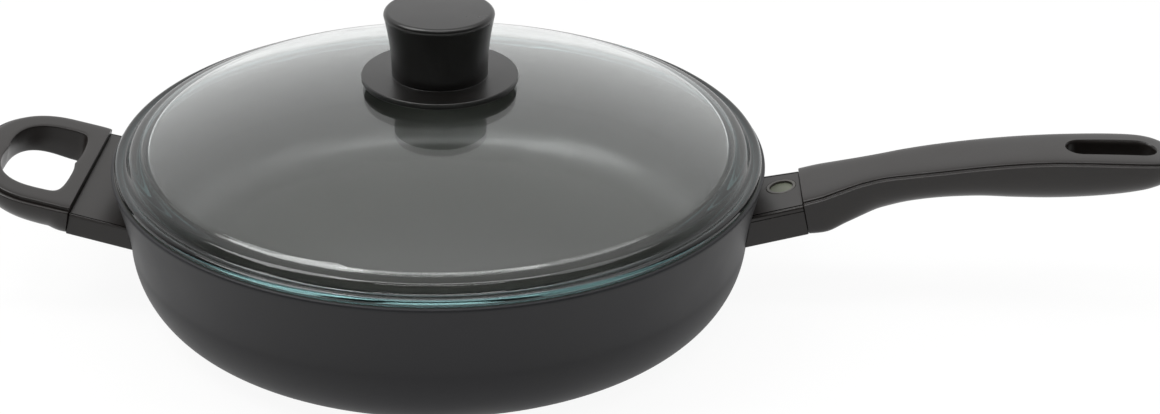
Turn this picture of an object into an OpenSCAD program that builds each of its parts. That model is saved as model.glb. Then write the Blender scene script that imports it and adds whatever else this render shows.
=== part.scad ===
// Braising pan with a pressed glass lid, a long handle and a loop handle.
// Millimetres. The origin is the centre of the base's underside, +Z is up
// and the long handle points along +X.

/* [Pan] */
// Outer radius of the rim
rim_r = 140; // [130:1:150]
// Height of the rim above the base
pan_h = 63; // [57:1:70]
// Radius of the flat base
base_r = 110; // [102:1:116]
// Height of the rounded corner between base and wall
corner_h = 30; // [24:1:34]
// How far the rim stands out beyond the top of that corner
lip_flare = 6; // [4:0.5:8]
// Thickness of the wall, measured level
wall_t = 3.5; // [3:0.25:4.5]
// Thickness of the floor
floor_t = 5.5; // [4.5:0.25:7]
// Rounding of the rim's outer edge
rim_round = 1.2; // [0.6:0.1:1.5]
// Number of turned grooves in the underside
groove_count = 6; // [3:1:8]
// Width of each groove
groove_w = 1.6; // [1:0.2:2.4]
// Depth of each groove
groove_d = 0.6; // [0.3:0.1:1]
// Radius of the innermost groove
groove_r = 22; // [16:1:26]
// Spacing of the grooves
groove_pitch = 13; // [8:0.5:13]

/* [Long handle] */
// Distance from the rim to the joint between guard and grip
long_guard_reach = 16.5; // [13:0.5:24]
// How far the guard's top lies below the rim at that joint
long_seam_drop = 14; // [12:0.5:17]
// Angle at which the handle leaves the pan
long_rise = 13.5; // [9:0.5:15]
// Half width of the guard at the joint
long_guard_half_w = 17.5; // [15:0.5:19]
// How much wider each side of the guard is at the pan
long_guard_flare = 2; // [0:0.25:3]
// Height of the guard
long_guard_h = 14; // [12.5:0.25:15]
// Width of the tang that carries the grip
long_tang_w = 16; // [13:0.5:18]
// Thickness of the tang
long_tang_t = 4.5; // [4:0.25:5]
// Length of the tang inside the grip
long_tang_reach = 27; // [23:0.5:30]
// Distance of the screw from the joint
long_screw_u = 14; // [12:0.5:17]
// Length of the grip, measured level
grip_len = 160; // [140:1:175]
// Height that the grip gains over its length
grip_rise = 21.8; // [18:0.2:24]
// Deepest part of the grip, from its crease line to its belly
grip_depth = 20.2; // [19.5:0.1:22]
// Half width of the grip's mouth
grip_half_w = 18.3; // [17.8:0.1:20]
// How far the grip's crease line stands above the guard
grip_proud = 1.1; // [0.6:0.1:1.6]
// Height of the crowned top above the crease line
grip_crown = 1.2; // [0.6:0.1:2]
// Length of the hanging slot
slot_len = 38; // [30:1:44]
// Width of the hanging slot
slot_w = 13; // [9:0.5:14]
// Distance from the slot to the end of the grip
slot_margin = 9.6; // [7:0.2:12]

/* [Heat indicator] */
// Outer radius of the indicator's ring
indicator_r = 6.6; // [5:0.1:7]
// Width of the ring's lip
indicator_lip = 1.5; // [0.8:0.1:1.8]
// Depth of the pocket in the guard
indicator_pocket = 2; // [1.4:0.1:2.4]
// Thickness of the indicator's disc
indicator_disc_t = 1.2; // [0.6:0.1:1.6]
// Distance of the indicator from the joint, towards the pan
indicator_back = 8.5; // [8:0.25:9.5]
// Distance of the indicator from the handle's middle line
indicator_side = 5; // [0:0.25:6]

/* [Side handle] */
// Distance from the rim to the joint between guard and loop
side_guard_reach = 13.5; // [10:0.5:18]
// How far the guard's top lies below the rim at that joint
side_seam_drop = 16; // [13:0.5:18]
// Angle at which the loop leaves the pan
side_rise = 13.5; // [8:0.5:16]
// Half width of the guard at the joint
side_guard_half_w = 40; // [37:0.5:43]
// How much wider each side of the guard is at the pan
side_guard_flare = 1; // [0:0.25:2]
// Height of the guard
side_guard_h = 10; // [9:0.25:11.5]
// Thickness of the tang plate
side_tang_t = 3; // [2.5:0.25:3.5]
// Reach of the loop beyond the joint
loop_reach = 49; // [45:0.5:56]
// How far each side of the loop stands out beyond the guard
loop_side_proud = 2; // [1:0.25:3]
// Distance from the joint to the finger opening
loop_bar = 7.4; // [7:0.1:9]
// Width of the loop's arms
loop_band = 15; // [14:0.2:16]
// Width of the loop at its far end
loop_end_band = 12.5; // [10:0.1:14]
// How much the finger opening widens towards its top, on each side
loop_lean = 1.9; // [0.5:0.1:2.5]
// Depth of the loop at the joint
loop_depth = 12.6; // [12:0.1:13.2]
// Depth of the loop's arms where they are deepest
loop_belly_depth = 13.6; // [13:0.1:15]
// Depth of the loop at its far end
loop_end_depth = 10; // [9:0.2:12]
// Height of the crowned top above the crease line
loop_crown = 1.3; // [0.6:0.1:2]
// How far the loop's crease line stands above the guard
loop_proud = 1.6; // [1:0.1:2]

/* [Lid] */
// How far the glass edge stays inside the rim's outer edge
lid_inset = 1.5; // [0.8:0.1:2]
// Thickness of the dome
glass_t = 4.5; // [3.5:0.25:5.5]
// Height of the rounded bead along the edge
bead_h = 4.5; // [3.5:0.25:5.5]
// Width of the bead
bead_w = 4; // [3:0.25:5]
// Distance from the glass edge to the foot of the dome
shoulder_w = 12.5; // [11:0.5:15]
// Height of the dome's foot above the rim
shoulder_h = 8; // [7:0.25:10]
// Rise of the dome above its foot
dome_rise = 24.6; // [18:0.5:32]
// Depth of the locating ring inside the rim
ring_depth = 3; // [2:0.25:4.5]
// Clearance between the locating ring and the rim
ring_gap = 0.8; // [0.4:0.1:1.2]
// Radius of the hole for the screw
glass_hole_r = 5; // [4.5:0.1:5.5]

/* [Knob] */
// Radius of the knob's flange
knob_flange_r = 33.4; // [28:0.2:38]
// Thickness of the flange
knob_flange_t = 2.6; // [2:0.1:3.4]
// Height of the knob above its flange
knob_h = 28.6; // [24:0.2:34]
// Radius of the knob where it meets the flange
knob_base_r = 20.4; // [18:0.2:23]
// Radius of the knob's top
knob_top_r = 23.4; // [21:0.2:26]
// Rounding of the knob's top edge
knob_round = 2; // [1:0.1:3]
// Wall of the hollow knob
knob_wall = 4; // [3:0.25:5]
// Radius of the core that holds the threaded insert
knob_core_r = 7.5; // [6.5:0.25:9]
// Radius of the threaded insert
insert_r = 4.2; // [3.6:0.1:4.8]
// Length of the threaded insert
insert_len = 13; // [10:0.5:16]

/* [Fasteners] */
// Shank radius of the lid screw and the long handle's screw
screw_r = 2.4; // [2:0.1:2.6]
// Shank radius of the two loop screws
small_screw_r = 1.7; // [1.4:0.1:1.9]
// Thickness of the seal between knob and glass
knob_seal_t = 0.9; // [0.6:0.1:1.4]
// Radius of that seal
knob_seal_r = 11; // [9:0.5:13]
// Thickness of the seal under the glass
lid_seal_t = 1.2; // [0.8:0.1:1.8]
// Radius of the seal under the glass
lid_seal_r = 10; // [9:0.25:12]
// Thickness of the plain washers
washer_t = 0.9; // [0.6:0.1:1.2]

/* [Hidden] */
$fn = 96;

// Clearances and small features
cut_over = 2;
fit = 0.2;
thread_gap = 0.1;
weld_gap = 0.05;
guard_gap = 0.1;
seam_gap = 0.05;
foot_t = 2.5;
foot_side = 3;
guard_wall = 2;
guard_round = 1;
guard_run_in = 6;
skin = 0.1;
head_wall = 2.2;
recess_w = 1;

// Screw heads, as shares of the shank radius, the head's height and its radius
head_share = 1.9;
head_height_share = 1.1;
head_rim_share = 0.3;
cross_share = 0.5;
cross_depth_share = 0.5;

// Pan outline: an elliptical corner, then a wall that flares towards the rim
corner_steps = 12;
wall_steps = 7;
round_steps = 4;
flare_power = 1.3;
wall_r = rim_r - lip_flare;
corner_w = wall_r - base_r;
wall_top = pan_h - rim_round;
rim_bore_r = rim_r - wall_t;
floor_edge_r = base_r - wall_t;

function arc(cx, cy, rx, ry, a0, a1, n) =
    [for (i = [0:n]) let (a = a0 + (a1 - a0) * i / n) [cx + rx * cos(a), cy + ry * sin(a)]];
function reversed(list) = [for (i = [len(list) - 1:-1:0]) list[i]];
function flared_r(z) =
    wall_r + lip_flare * pow(min(1, (z - corner_h) / (wall_top - corner_h)), flare_power);
function wall_line(inset) =
    [for (i = [1:wall_steps]) let (z = corner_h + (wall_top - corner_h) * i / wall_steps)
        [flared_r(z) - inset, z]];
function outside_line() = concat(
    arc(base_r, corner_h, corner_w, corner_h, -90, 0, corner_steps),
    wall_line(0)
);
function inside_line() = concat(
    arc(floor_edge_r, corner_h, wall_r - wall_t - floor_edge_r, corner_h - floor_t, -90, 0, corner_steps),
    wall_line(wall_t)
);

// Handle frames: local +X runs out along the handle, local +Z is up and the
// origin lies on the guard's top face at the joint between guard and grip
long_seam_x = rim_r + long_guard_reach;
long_seam_z = pan_h - long_seam_drop;
side_seam_x = rim_r + side_guard_reach;
side_seam_z = pan_h - side_seam_drop;

module in_long_frame() {
    translate([long_seam_x, 0, long_seam_z]) rotate([0, -long_rise, 0]) children();
}
module in_side_frame() {
    mirror([1, 0, 0]) translate([side_seam_x, 0, side_seam_z]) rotate([0, -side_rise, 0]) children();
}

// The outside of the pan grown by a gap, used to fit what sits against the wall
module pan_envelope(gap) {
    rotate_extrude()
        polygon(concat([[0, 0]], [for (p = outside_line()) [p[0] + gap, p[1]]], [[0, wall_top]]));
}

// Tapered bar with rounded edges, its top at z = 0, from x = -run to x = 0
module tapered_bar(half_in, half_out, run, h, r) {
    hull() {
        for (end = [[-run, half_in], [-skin, half_out]])
            for (side = [-1, 1])
                for (z = [-r, r - h])
                    translate([end[0], side * (end[1] - r), z])
                        rotate([0, 90, 0])
                            cylinder(h = skin, r = r, $fn = 32);
    }
}

// Pan head screw, its shank up along +Z from z = 0 and its head below
module pan_head_screw(r, length) {
    head_r = r * head_share;
    head_h = r * head_height_share;
    difference() {
        union() {
            cylinder(h = length, r = r);
            rotate_extrude()
                polygon(concat(
                    [[0, 0], [head_r, 0]],
                    arc(0, -head_h * head_rim_share, head_r, head_h * (1 - head_rim_share), 0, -90, 6)
                ));
        }
        for (turn = [0, 90])
            rotate([0, 0, turn])
                translate([-head_r * cross_share, -recess_w / 2, -head_h - cut_over])
                    cube([head_r * cross_share * 2, recess_w, cut_over + head_h * cross_depth_share]);
    }
}

// Plain ring from z = 0 upwards
module ring(r_out, r_in, t) {
    rotate_extrude() translate([r_in, 0]) square([r_out - r_in, t]);
}

module pan_body() {
    color([0.20, 0.20, 0.20])
        difference() {
            rotate_extrude()
                polygon(concat(
                    [[0, 0]],
                    outside_line(),
                    arc(rim_r - rim_round, wall_top, rim_round, rim_round, 0, 90, round_steps),
                    [[rim_bore_r, pan_h]],
                    reversed(inside_line()),
                    [[0, floor_t]]
                ));
            for (i = [0:groove_count - 1])
                translate([0, 0, -cut_over])
                    ring(groove_r + i * groove_pitch + groove_w, groove_r + i * groove_pitch, groove_d + cut_over);
        }
}

// Long handle: a tang welded to the wall runs through the guard into the grip
long_tang_z = -long_guard_h / 2;
long_foot_half_w = long_guard_half_w - foot_side - guard_wall;
long_foot_h = long_guard_h - 2 * foot_side;
long_run = (long_seam_x - wall_r) / cos(long_rise) + guard_run_in;
long_pocket_end = long_tang_reach + fit;
long_ledge_z = long_tang_z - long_tang_t / 2 - fit - head_wall;

module long_foot_block(grow) {
    translate([-long_run - guard_run_in, -long_foot_half_w - grow, long_tang_z - long_foot_h / 2 - grow])
        cube([long_run + guard_run_in - foot_side, (long_foot_half_w + grow) * 2, long_foot_h + grow * 2]);
}

module long_tang_bar(grow) {
    translate([-long_run, -long_tang_w / 2 - grow, long_tang_z - long_tang_t / 2 - grow])
        cube([long_run + long_tang_reach + grow, long_tang_w + grow * 2, long_tang_t + grow * 2]);
}

module long_handle_tang() {
    color([0.62, 0.62, 0.60])
        difference() {
            union() {
                in_long_frame() long_tang_bar(0);
                intersection() {
                    in_long_frame() long_foot_block(0);
                    pan_envelope(weld_gap + foot_t);
                }
            }
            pan_envelope(weld_gap);
            in_long_frame()
                translate([long_screw_u, 0, long_ledge_z])
                    cylinder(h = long_guard_h, r = screw_r + thread_gap);
        }
}

module long_handle_guard() {
    color([0.24, 0.23, 0.22])
        difference() {
            in_long_frame()
                tapered_bar(
                    long_guard_half_w + long_guard_flare, long_guard_half_w, long_run, long_guard_h, guard_round
                );
            pan_envelope(guard_gap);
            in_long_frame() long_tang_bar(fit);
            intersection() {
                in_long_frame() long_foot_block(fit);
                pan_envelope(weld_gap + foot_t + fit);
            }
            in_long_frame()
                translate([-indicator_back, indicator_side, -indicator_pocket])
                    cylinder(h = indicator_pocket + cut_over, r = indicator_r + thread_gap);
        }
}

module heat_indicator_ring() {
    color([0.42, 0.41, 0.38])
        in_long_frame()
            translate([-indicator_back, indicator_side, -indicator_pocket])
                ring(indicator_r, indicator_r - indicator_lip, indicator_pocket + thread_gap);
}

module heat_indicator_disc() {
    color([0.45, 0.46, 0.40])
        in_long_frame()
            translate([-indicator_back, indicator_side, -indicator_pocket])
                cylinder(h = indicator_disc_t, r = indicator_r - indicator_lip - thread_gap);
}

// Stations of the long grip, as shares of grip_len, grip_rise, grip_depth and grip_half_w
grip_shares = [
    [0, 0, 0.793, 1],
    [0.05, 0.113, 0.864, 0.985],
    [0.10, 0.235, 0.846, 0.89],
    [0.16, 0.375, 0.85, 0.785],
    [0.22, 0.489, 0.811, 0.76],
    [0.28, 0.58, 0.762, 0.805],
    [0.36, 0.685, 0.762, 0.845],
    [0.46, 0.803, 0.833, 0.855],
    [0.56, 0.898, 0.947, 0.86],
    [0.66, 0.961, 1, 0.875],
    [0.76, 0.99, 0.96, 0.915],
    [0.84, 1, 0.877, 0.935],
    [0.90, 0.998, 0.775, 0.92],
    [0.935, 0.985, 0.674, 0.865],
    [0.96, 0.965, 0.573, 0.765],
    [0.98, 0.935, 0.449, 0.62],
    [0.993, 0.90, 0.317, 0.44],
    [1, 0.86, 0.14, 0.22]
];
grip_substeps = 3;
section_top_steps = 10;
section_belly_steps = 16;
top_power = 4;
belly_power = 2.7;
mouth_power = 8;
mouth_len_share = 0.2;
crease_w = 2.2;
crease_d = 0.6;
// The valley and ledge between crown and side, as shares of crease_w and crease_d
crease_shares = [[0, 1], [0.35, 0.4], [0.75, 0.35]];

// Start of the grip on the long handle's frame
grip_x0 = long_seam_x + seam_gap * cos(long_rise) - grip_proud * sin(long_rise);
grip_z0 = long_seam_z + seam_gap * sin(long_rise) + grip_proud * cos(long_rise);

function signed_pow(v, power) = sign(v) * pow(abs(v), 2 / power);
function blended(a, b, c, d, t) =
    (2 * b + (c - a) * t + (2 * a - 5 * b + 4 * c - d) * t * t + (3 * b - 3 * c + d - a) * t * t * t) / 2;
function row(list, i) = list[max(0, min(len(list) - 1, i))];
function smooth_rows(list, substeps) = concat(
    [for (i = [0:len(list) - 2]) for (k = [0:substeps - 1])
        blended(row(list, i - 1), row(list, i), row(list, i + 1), row(list, i + 2), k / substeps)],
    [list[len(list) - 1]]
);
function eased(t) = let (c = max(0, min(1, t))) c * c * (3 - 2 * c);

// Section of the long grip: crown above and belly below the crease line on each side
function grip_section(half_w, depth, crown, power) =
    let (
        top_w = half_w - crease_w,
        crown_points = [for (i = [0:section_top_steps]) let (a = 180 * i / section_top_steps)
            [top_w * signed_pow(cos(a), top_power), crown * signed_pow(sin(a), top_power)]],
        left_ledge = [for (s = crease_shares) [-top_w - s[0] * crease_w, -s[1] * crease_d]],
        belly_points = [for (i = [0:section_belly_steps]) let (a = 180 + 180 * i / section_belly_steps)
            [half_w * signed_pow(cos(a), power), -crease_d + (depth - crease_d) * signed_pow(sin(a), power)]],
        right_ledge = [for (s = reversed(crease_shares)) [top_w + s[0] * crease_w, -s[1] * crease_d]]
    )
    concat(crown_points, left_ledge, belly_points, right_ledge);

function grip_ring(station) =
    let (
        tilt = long_rise * (1 - station[0]),
        x = grip_x0 + station[0] * grip_len,
        z = grip_z0 + station[1] * grip_rise,
        power = mouth_power + (belly_power - mouth_power) * eased(station[0] / mouth_len_share),
        outline = grip_section(
            station[3] * grip_half_w, station[2] * grip_depth, grip_crown * station[3], power
        )
    )
    [for (p = outline) [x - p[1] * sin(tilt), p[0], z + p[1] * cos(tilt)]];

// Skin over a stack of equal rings, closed by a fan at each end
module lofted(rings) {
    n = len(rings[0]);
    m = len(rings);
    points = [for (r = rings) for (p = r) p];
    sides = [for (i = [0:m - 2]) for (j = [0:n - 1]) let (k = (j + 1) % n)
        each [[i * n + j, (i + 1) * n + j, (i + 1) * n + k], [i * n + j, (i + 1) * n + k, i * n + k]]];
    first_cap = [for (j = [1:n - 2]) [0, j, j + 1]];
    last_cap = [for (j = [1:n - 2]) [(m - 1) * n, (m - 1) * n + j + 1, (m - 1) * n + j]];
    polyhedron(points, concat(sides, first_cap, last_cap));
}

slot_r = slot_w / 2;
slot_end_x = grip_x0 + grip_len - slot_margin;
slot_flare = 1.2;

// Upright stadium through the grip's end
module slot_prism(z0, h) {
    translate([slot_end_x - slot_r, 0, z0]) cylinder(h = h, r = slot_r);
    translate([slot_end_x - slot_len + slot_r, 0, z0]) cylinder(h = h, r = slot_r);
    translate([slot_end_x - slot_len + slot_r, -slot_r, z0]) cube([slot_len - slot_w, slot_w, h]);
}

module slot_mouth() {
    z_top = grip_z0 + grip_rise + grip_crown;
    hull() {
        for (x = [slot_end_x - slot_r, slot_end_x - slot_len + slot_r])
            translate([x, 0, z_top - slot_flare * 2])
                cylinder(h = slot_flare * 3, r1 = slot_r - slot_flare, r2 = slot_r + slot_flare * 2, $fn = 32);
    }
}

module long_handle_grip() {
    color([0.23, 0.22, 0.21])
        difference() {
            lofted([for (station = smooth_rows(grip_shares, grip_substeps)) grip_ring(station)]);
            slot_prism(grip_z0 - grip_depth, grip_rise + grip_depth * 2);
            slot_mouth();
            in_long_frame() long_tang_bar(fit);
            in_long_frame()
                translate([long_screw_u, 0, long_ledge_z - cut_over])
                    cylinder(h = long_guard_h / 2, r = screw_r + fit);
            in_long_frame()
                translate([long_screw_u, 0, long_ledge_z - grip_depth])
                    cylinder(h = grip_depth, r = screw_r * head_share + fit * 2);
        }
}

module long_handle_screw() {
    color([0.70, 0.70, 0.68])
        in_long_frame()
            translate([long_screw_u, 0, long_ledge_z - washer_t])
                pan_head_screw(screw_r, washer_t + head_wall + fit + long_tang_t);
}

module long_handle_washer() {
    color([0.66, 0.66, 0.64])
        in_long_frame()
            translate([long_screw_u, 0, long_ledge_z - washer_t])
                ring(screw_r * head_share, screw_r + thread_gap, washer_t);
}

// Side handle: a tang plate with two ears carries the loop
side_tang_share = 0.4;
side_tang_z = -side_guard_h * side_tang_share;
side_tang_half_w = side_guard_half_w - guard_wall;
side_foot_h = side_guard_h - 2 * foot_side + guard_wall;
side_run = (side_seam_x - sqrt(pow(wall_r, 2) - pow(side_guard_half_w + side_guard_flare, 2))) / cos(side_rise)
    + guard_run_in;
ear_share = 0.62;
ear_w = (loop_band - loop_lean) * ear_share;
ear_side = side_tang_half_w - ear_w / 2;
ear_reach = loop_bar + guard_wall + ear_w / 8;
plate_reach = loop_bar - guard_wall - fit;
side_screw_u = ear_reach - ear_w / 2 - small_screw_r / 4;
side_ledge_z = side_tang_z - side_tang_t / 2 - head_wall;

module side_tang_plate(grow) {
    translate([-side_run, -side_tang_half_w - grow, side_tang_z - side_tang_t / 2 - grow])
        cube([side_run + plate_reach + grow, (side_tang_half_w + grow) * 2, side_tang_t + grow * 2]);
    for (side = [-1, 1])
        translate([-seam_gap, side * ear_side - ear_w / 2 - grow, side_tang_z - side_tang_t / 2 - grow])
            cube([seam_gap + ear_reach + grow, ear_w + grow * 2, side_tang_t + grow * 2]);
}

module side_foot_block(grow) {
    translate([-side_run - guard_run_in, -side_tang_half_w - grow, side_tang_z - side_foot_h / 2 - grow])
        cube([side_run + guard_run_in - foot_side, (side_tang_half_w + grow) * 2, side_foot_h + grow * 2]);
}

module at_side_screws() {
    in_side_frame()
        for (side = [-1, 1])
            translate([side_screw_u, side * ear_side, side_ledge_z])
                children();
}

module side_handle_tang() {
    color([0.62, 0.62, 0.60])
        difference() {
            union() {
                in_side_frame() side_tang_plate(0);
                intersection() {
                    in_side_frame() side_foot_block(0);
                    pan_envelope(weld_gap + foot_t);
                }
            }
            pan_envelope(weld_gap);
            at_side_screws() cylinder(h = side_guard_h, r = small_screw_r + thread_gap);
        }
}

module side_handle_guard() {
    color([0.24, 0.23, 0.22])
        difference() {
            in_side_frame()
                tapered_bar(
                    side_guard_half_w + side_guard_flare, side_guard_half_w, side_run, side_guard_h, guard_round
                );
            pan_envelope(guard_gap);
            in_side_frame() side_tang_plate(fit);
            intersection() {
                in_side_frame() side_foot_block(fit);
                pan_envelope(weld_gap + foot_t + fit);
            }
        }
}

// The loop's band runs round its own middle between an inner and an outer outline
loop_steps = 80;
loop_top_steps = 8;
loop_keel_steps = 8;
loop_half_w = side_guard_half_w + loop_side_proud;
loop_mid_share = 0.34;
loop_mid = loop_reach * loop_mid_share;
loop_end_power = 2.2;
loop_seam_power = 9;
opening_end_power = 2.6;
opening_seam_power = 4.5;
loop_top_power = 4;
loop_rim_power = 6;
loop_crease_d = 1.4;
// The valley and ledge between crown and side, as shares of crease_w and loop_crease_d
loop_crease_shares = [[0, 0.7], [0.3, 0.35], [0.7, 0.5]];
// The band's lowest line, as a share of its width, and how square its lower sides are
keel_share = 0.25;
keel_inner_power = 5;
keel_mouth_power = 8;
keel_outer_power = 1.9;
loop_mouth_share = 0.2;

function polar(a, along, across, power) =
    1 / pow(pow(abs(cos(a)) / along, power) + pow(abs(sin(a)) / across, power), 1 / power);
function outer_reach(a) =
    cos(a) > 0
        ? polar(a, loop_reach - loop_mid, loop_half_w, loop_end_power)
        : polar(a, loop_mid + guard_run_in, loop_half_w, loop_seam_power);
function inner_reach(a) =
    cos(a) > 0
        ? polar(a, loop_reach - loop_mid - loop_end_band, loop_half_w - loop_band, opening_end_power)
        : polar(a, loop_mid - loop_bar, loop_half_w - loop_band, opening_seam_power);

// Section of the loop's band from its inner to its outer side, with the crease on the outer one
function loop_section(band, lean, depth, outer_power) =
    let (
        keel = band * keel_share,
        fall = depth - loop_crease_d,
        crown_in = lean,
        crown_out = band - crease_w
    )
    concat(
        [for (i = [0:loop_top_steps])
            let (a = 180 * i / loop_top_steps, power = cos(a) > 0 ? loop_top_power : loop_rim_power)
            [(crown_out + crown_in) / 2 + (crown_out - crown_in) / 2 * signed_pow(cos(a), power),
             loop_crown * signed_pow(sin(a), power)]],
        [for (i = [1:loop_keel_steps]) let (a = 180 + 90 * i / loop_keel_steps)
            [keel * (1 + signed_pow(cos(a), keel_inner_power)) + lean * (1 + signed_pow(sin(a), keel_inner_power)),
             depth * signed_pow(sin(a), keel_inner_power)]],
        [for (i = [1:loop_keel_steps]) let (a = 270 + 90 * i / loop_keel_steps)
            [keel + (band - keel) * signed_pow(cos(a), outer_power),
             -loop_crease_d + fall * signed_pow(sin(a), outer_power)]],
        [for (s = reversed(loop_crease_shares)) [crown_out + s[0] * crease_w, -s[1] * loop_crease_d]]
    );

function loop_ring(a) =
    let (
        start = inner_reach(a),
        band = outer_reach(a) - start,
        run = (loop_mid + (start + band / 2) * cos(a)) / loop_reach,
        mouth = eased(run / loop_mouth_share),
        end = eased((run - loop_mouth_share) / (1 - loop_mouth_share)),
        outline = loop_section(
            band,
            loop_lean * abs(sin(a)),
            loop_depth + (loop_belly_depth - loop_depth) * mouth + (loop_end_depth - loop_belly_depth) * end,
            keel_mouth_power + (keel_outer_power - keel_mouth_power) * mouth
        )
    )
    [for (p = outline)
        [loop_mid + (start + p[0]) * cos(a), (start + p[0]) * sin(a), loop_proud + p[1]]];

// Skin over rings that close on themselves
module looped(rings) {
    n = len(rings[0]);
    m = len(rings);
    points = [for (r = rings) for (p = r) p];
    sides = [for (i = [0:m - 1]) for (j = [0:n - 1]) let (g = (i + 1) % m, k = (j + 1) % n)
        each [[i * n + j, g * n + k, g * n + j], [i * n + j, i * n + k, g * n + k]]];
    polyhedron(points, sides);
}

module side_handle_grip() {
    color([0.23, 0.22, 0.21])
        difference() {
            in_side_frame() looped([for (i = [0:loop_steps - 1]) loop_ring(360 * (i + 1 / 2) / loop_steps)]);
            in_side_frame()
                translate([seam_gap - loop_reach, -side_guard_half_w * 2, -side_guard_half_w])
                    cube([loop_reach, side_guard_half_w * 4, side_guard_half_w * 2]);
            in_side_frame() side_tang_plate(fit);
            at_side_screws() translate([0, 0, -cut_over]) cylinder(h = side_guard_h / 2, r = small_screw_r + fit);
            at_side_screws()
                translate([0, 0, -loop_depth])
                    cylinder(h = loop_depth, r = small_screw_r * head_share + fit * 2);
        }
}

module side_handle_screws() {
    color([0.70, 0.70, 0.68])
        at_side_screws()
            translate([0, 0, -washer_t])
                pan_head_screw(small_screw_r, washer_t + head_wall + side_tang_t);
}

module side_handle_washers() {
    color([0.66, 0.66, 0.64])
        at_side_screws()
            translate([0, 0, -washer_t])
                ring(small_screw_r * head_share, small_screw_r + thread_gap, washer_t);
}

// Glass lid: bead, shoulder and locating ring round a shallow dome
lid_r = rim_r - lid_inset;
bead_low = 0.8;
dome_edge_r = lid_r - shoulder_w;
dome_foot_z = pan_h + shoulder_h;
dome_ball_r = (pow(dome_edge_r, 2) + pow(dome_rise, 2)) / (2 * dome_rise);
dome_centre_z = dome_foot_z + dome_rise - dome_ball_r;
ring_r = rim_bore_r - ring_gap;
ring_round = 1;
ring_in_r = dome_edge_r + ring_round;
dome_steps = 16;
// Shoulder points between dome and bead, as shares of shoulder_w and shoulder_h
shoulder_shares = [
    [0.1, 0.985], [0.2, 0.935], [0.28, 0.85], [0.36, 0.72], [0.44, 0.6], [0.52, 0.53], [0.6, 0.505]
];

function ball_z(r, ball_r) = dome_centre_z + sqrt(pow(ball_r, 2) - pow(r, 2));
function top_z(r) = ball_z(r, dome_ball_r);
function under_z(r) = ball_z(r, dome_ball_r - glass_t);
dome_under_r = dome_edge_r - glass_t / 2;

function glass_outline() = concat(
    [for (i = [0:dome_steps]) let (r = glass_hole_r + (dome_edge_r - glass_hole_r) * i / dome_steps)
        [r, top_z(r)]],
    [for (s = shoulder_shares) [dome_edge_r + s[0] * shoulder_w, pan_h + s[1] * shoulder_h]],
    arc(lid_r - bead_w / 2, pan_h + bead_low, bead_w / 2, bead_h - bead_low, 130, 0, 8),
    arc(lid_r - bead_low, pan_h + bead_low, bead_low, bead_low, -30, -90, 2),
    [[ring_r, pan_h]],
    arc(ring_r - ring_round, pan_h - ring_depth + ring_round, ring_round, ring_round, 0, -90, 3),
    arc(ring_in_r + ring_round, pan_h - ring_depth + ring_round, ring_round, ring_round, -90, -180, 3),
    [for (i = [0:dome_steps]) let (r = dome_under_r + (glass_hole_r - dome_under_r) * i / dome_steps)
        [r, under_z(r)]]
);

module lid_glass() {
    color([0.70, 0.80, 0.80, 0.4])
        rotate_extrude($fn = 120) polygon(glass_outline());
}

knob_z = top_z(glass_hole_r) + knob_seal_t;
knob_side_steps = 10;
flange_round = 0.6;
knob_hollow_h = knob_flange_t + knob_h - knob_wall * 1.5;

function knob_outline() = concat(
    [[0, 0]],
    arc(knob_flange_r - flange_round, flange_round, flange_round, flange_round, -90, 0, 3),
    arc(knob_flange_r - flange_round, knob_flange_t - flange_round, flange_round, flange_round, 0, 90, 3),
    [for (i = [0:knob_side_steps]) let (s = i / knob_side_steps)
        [knob_base_r + (knob_top_r - knob_base_r) * s * s, knob_flange_t + s * (knob_h - knob_round)]],
    arc(knob_top_r - knob_round, knob_flange_t + knob_h - knob_round, knob_round, knob_round, 0, 90, 5),
    [[0, knob_flange_t + knob_h]]
);

module lid_knob() {
    color([0.16, 0.155, 0.15])
        translate([0, 0, knob_z])
            difference() {
                rotate_extrude() polygon(knob_outline());
                translate([0, 0, -cut_over])
                    ring(knob_base_r - knob_wall, knob_core_r, knob_hollow_h + cut_over);
                translate([0, 0, -cut_over]) cylinder(h = insert_len + cut_over, r = insert_r);
            }
}

module knob_insert() {
    color([0.78, 0.62, 0.32])
        translate([0, 0, knob_z])
            ring(insert_r - thread_gap / 2, screw_r + thread_gap, insert_len - thread_gap);
}

module knob_seal() {
    color([0.30, 0.30, 0.30])
        translate([0, 0, top_z(glass_hole_r)])
            ring(knob_seal_r, screw_r + fit, knob_seal_t);
}

// The lower seal has a collar that lines the hole in the glass
lid_seal_z = under_z(lid_seal_r) - weld_gap - lid_seal_t;

module lid_seal() {
    color([0.30, 0.30, 0.30]) {
        translate([0, 0, lid_seal_z]) ring(lid_seal_r, screw_r + fit, lid_seal_t);
        translate([0, 0, lid_seal_z])
            ring(glass_hole_r - fit, screw_r + fit, top_z(glass_hole_r) - lid_seal_z);
    }
}

lid_washer_r = lid_seal_r - lid_seal_t;
lock_washer_share = 1.2;
lock_washer_t = washer_t * lock_washer_share;

module lid_washer() {
    color([0.72, 0.72, 0.70])
        translate([0, 0, lid_seal_z - washer_t])
            ring(lid_washer_r, screw_r + fit, washer_t);
}

module lid_lock_washer() {
    color([0.66, 0.66, 0.64])
        translate([0, 0, lid_seal_z - washer_t - lock_washer_t])
            ring(screw_r * head_share, screw_r + thread_gap, lock_washer_t);
}

lid_screw_z = lid_seal_z - washer_t - lock_washer_t;

module lid_screw() {
    color([0.72, 0.72, 0.70])
        translate([0, 0, lid_screw_z])
            pan_head_screw(screw_r, knob_z - lid_screw_z + insert_len - washer_t);
}

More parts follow.
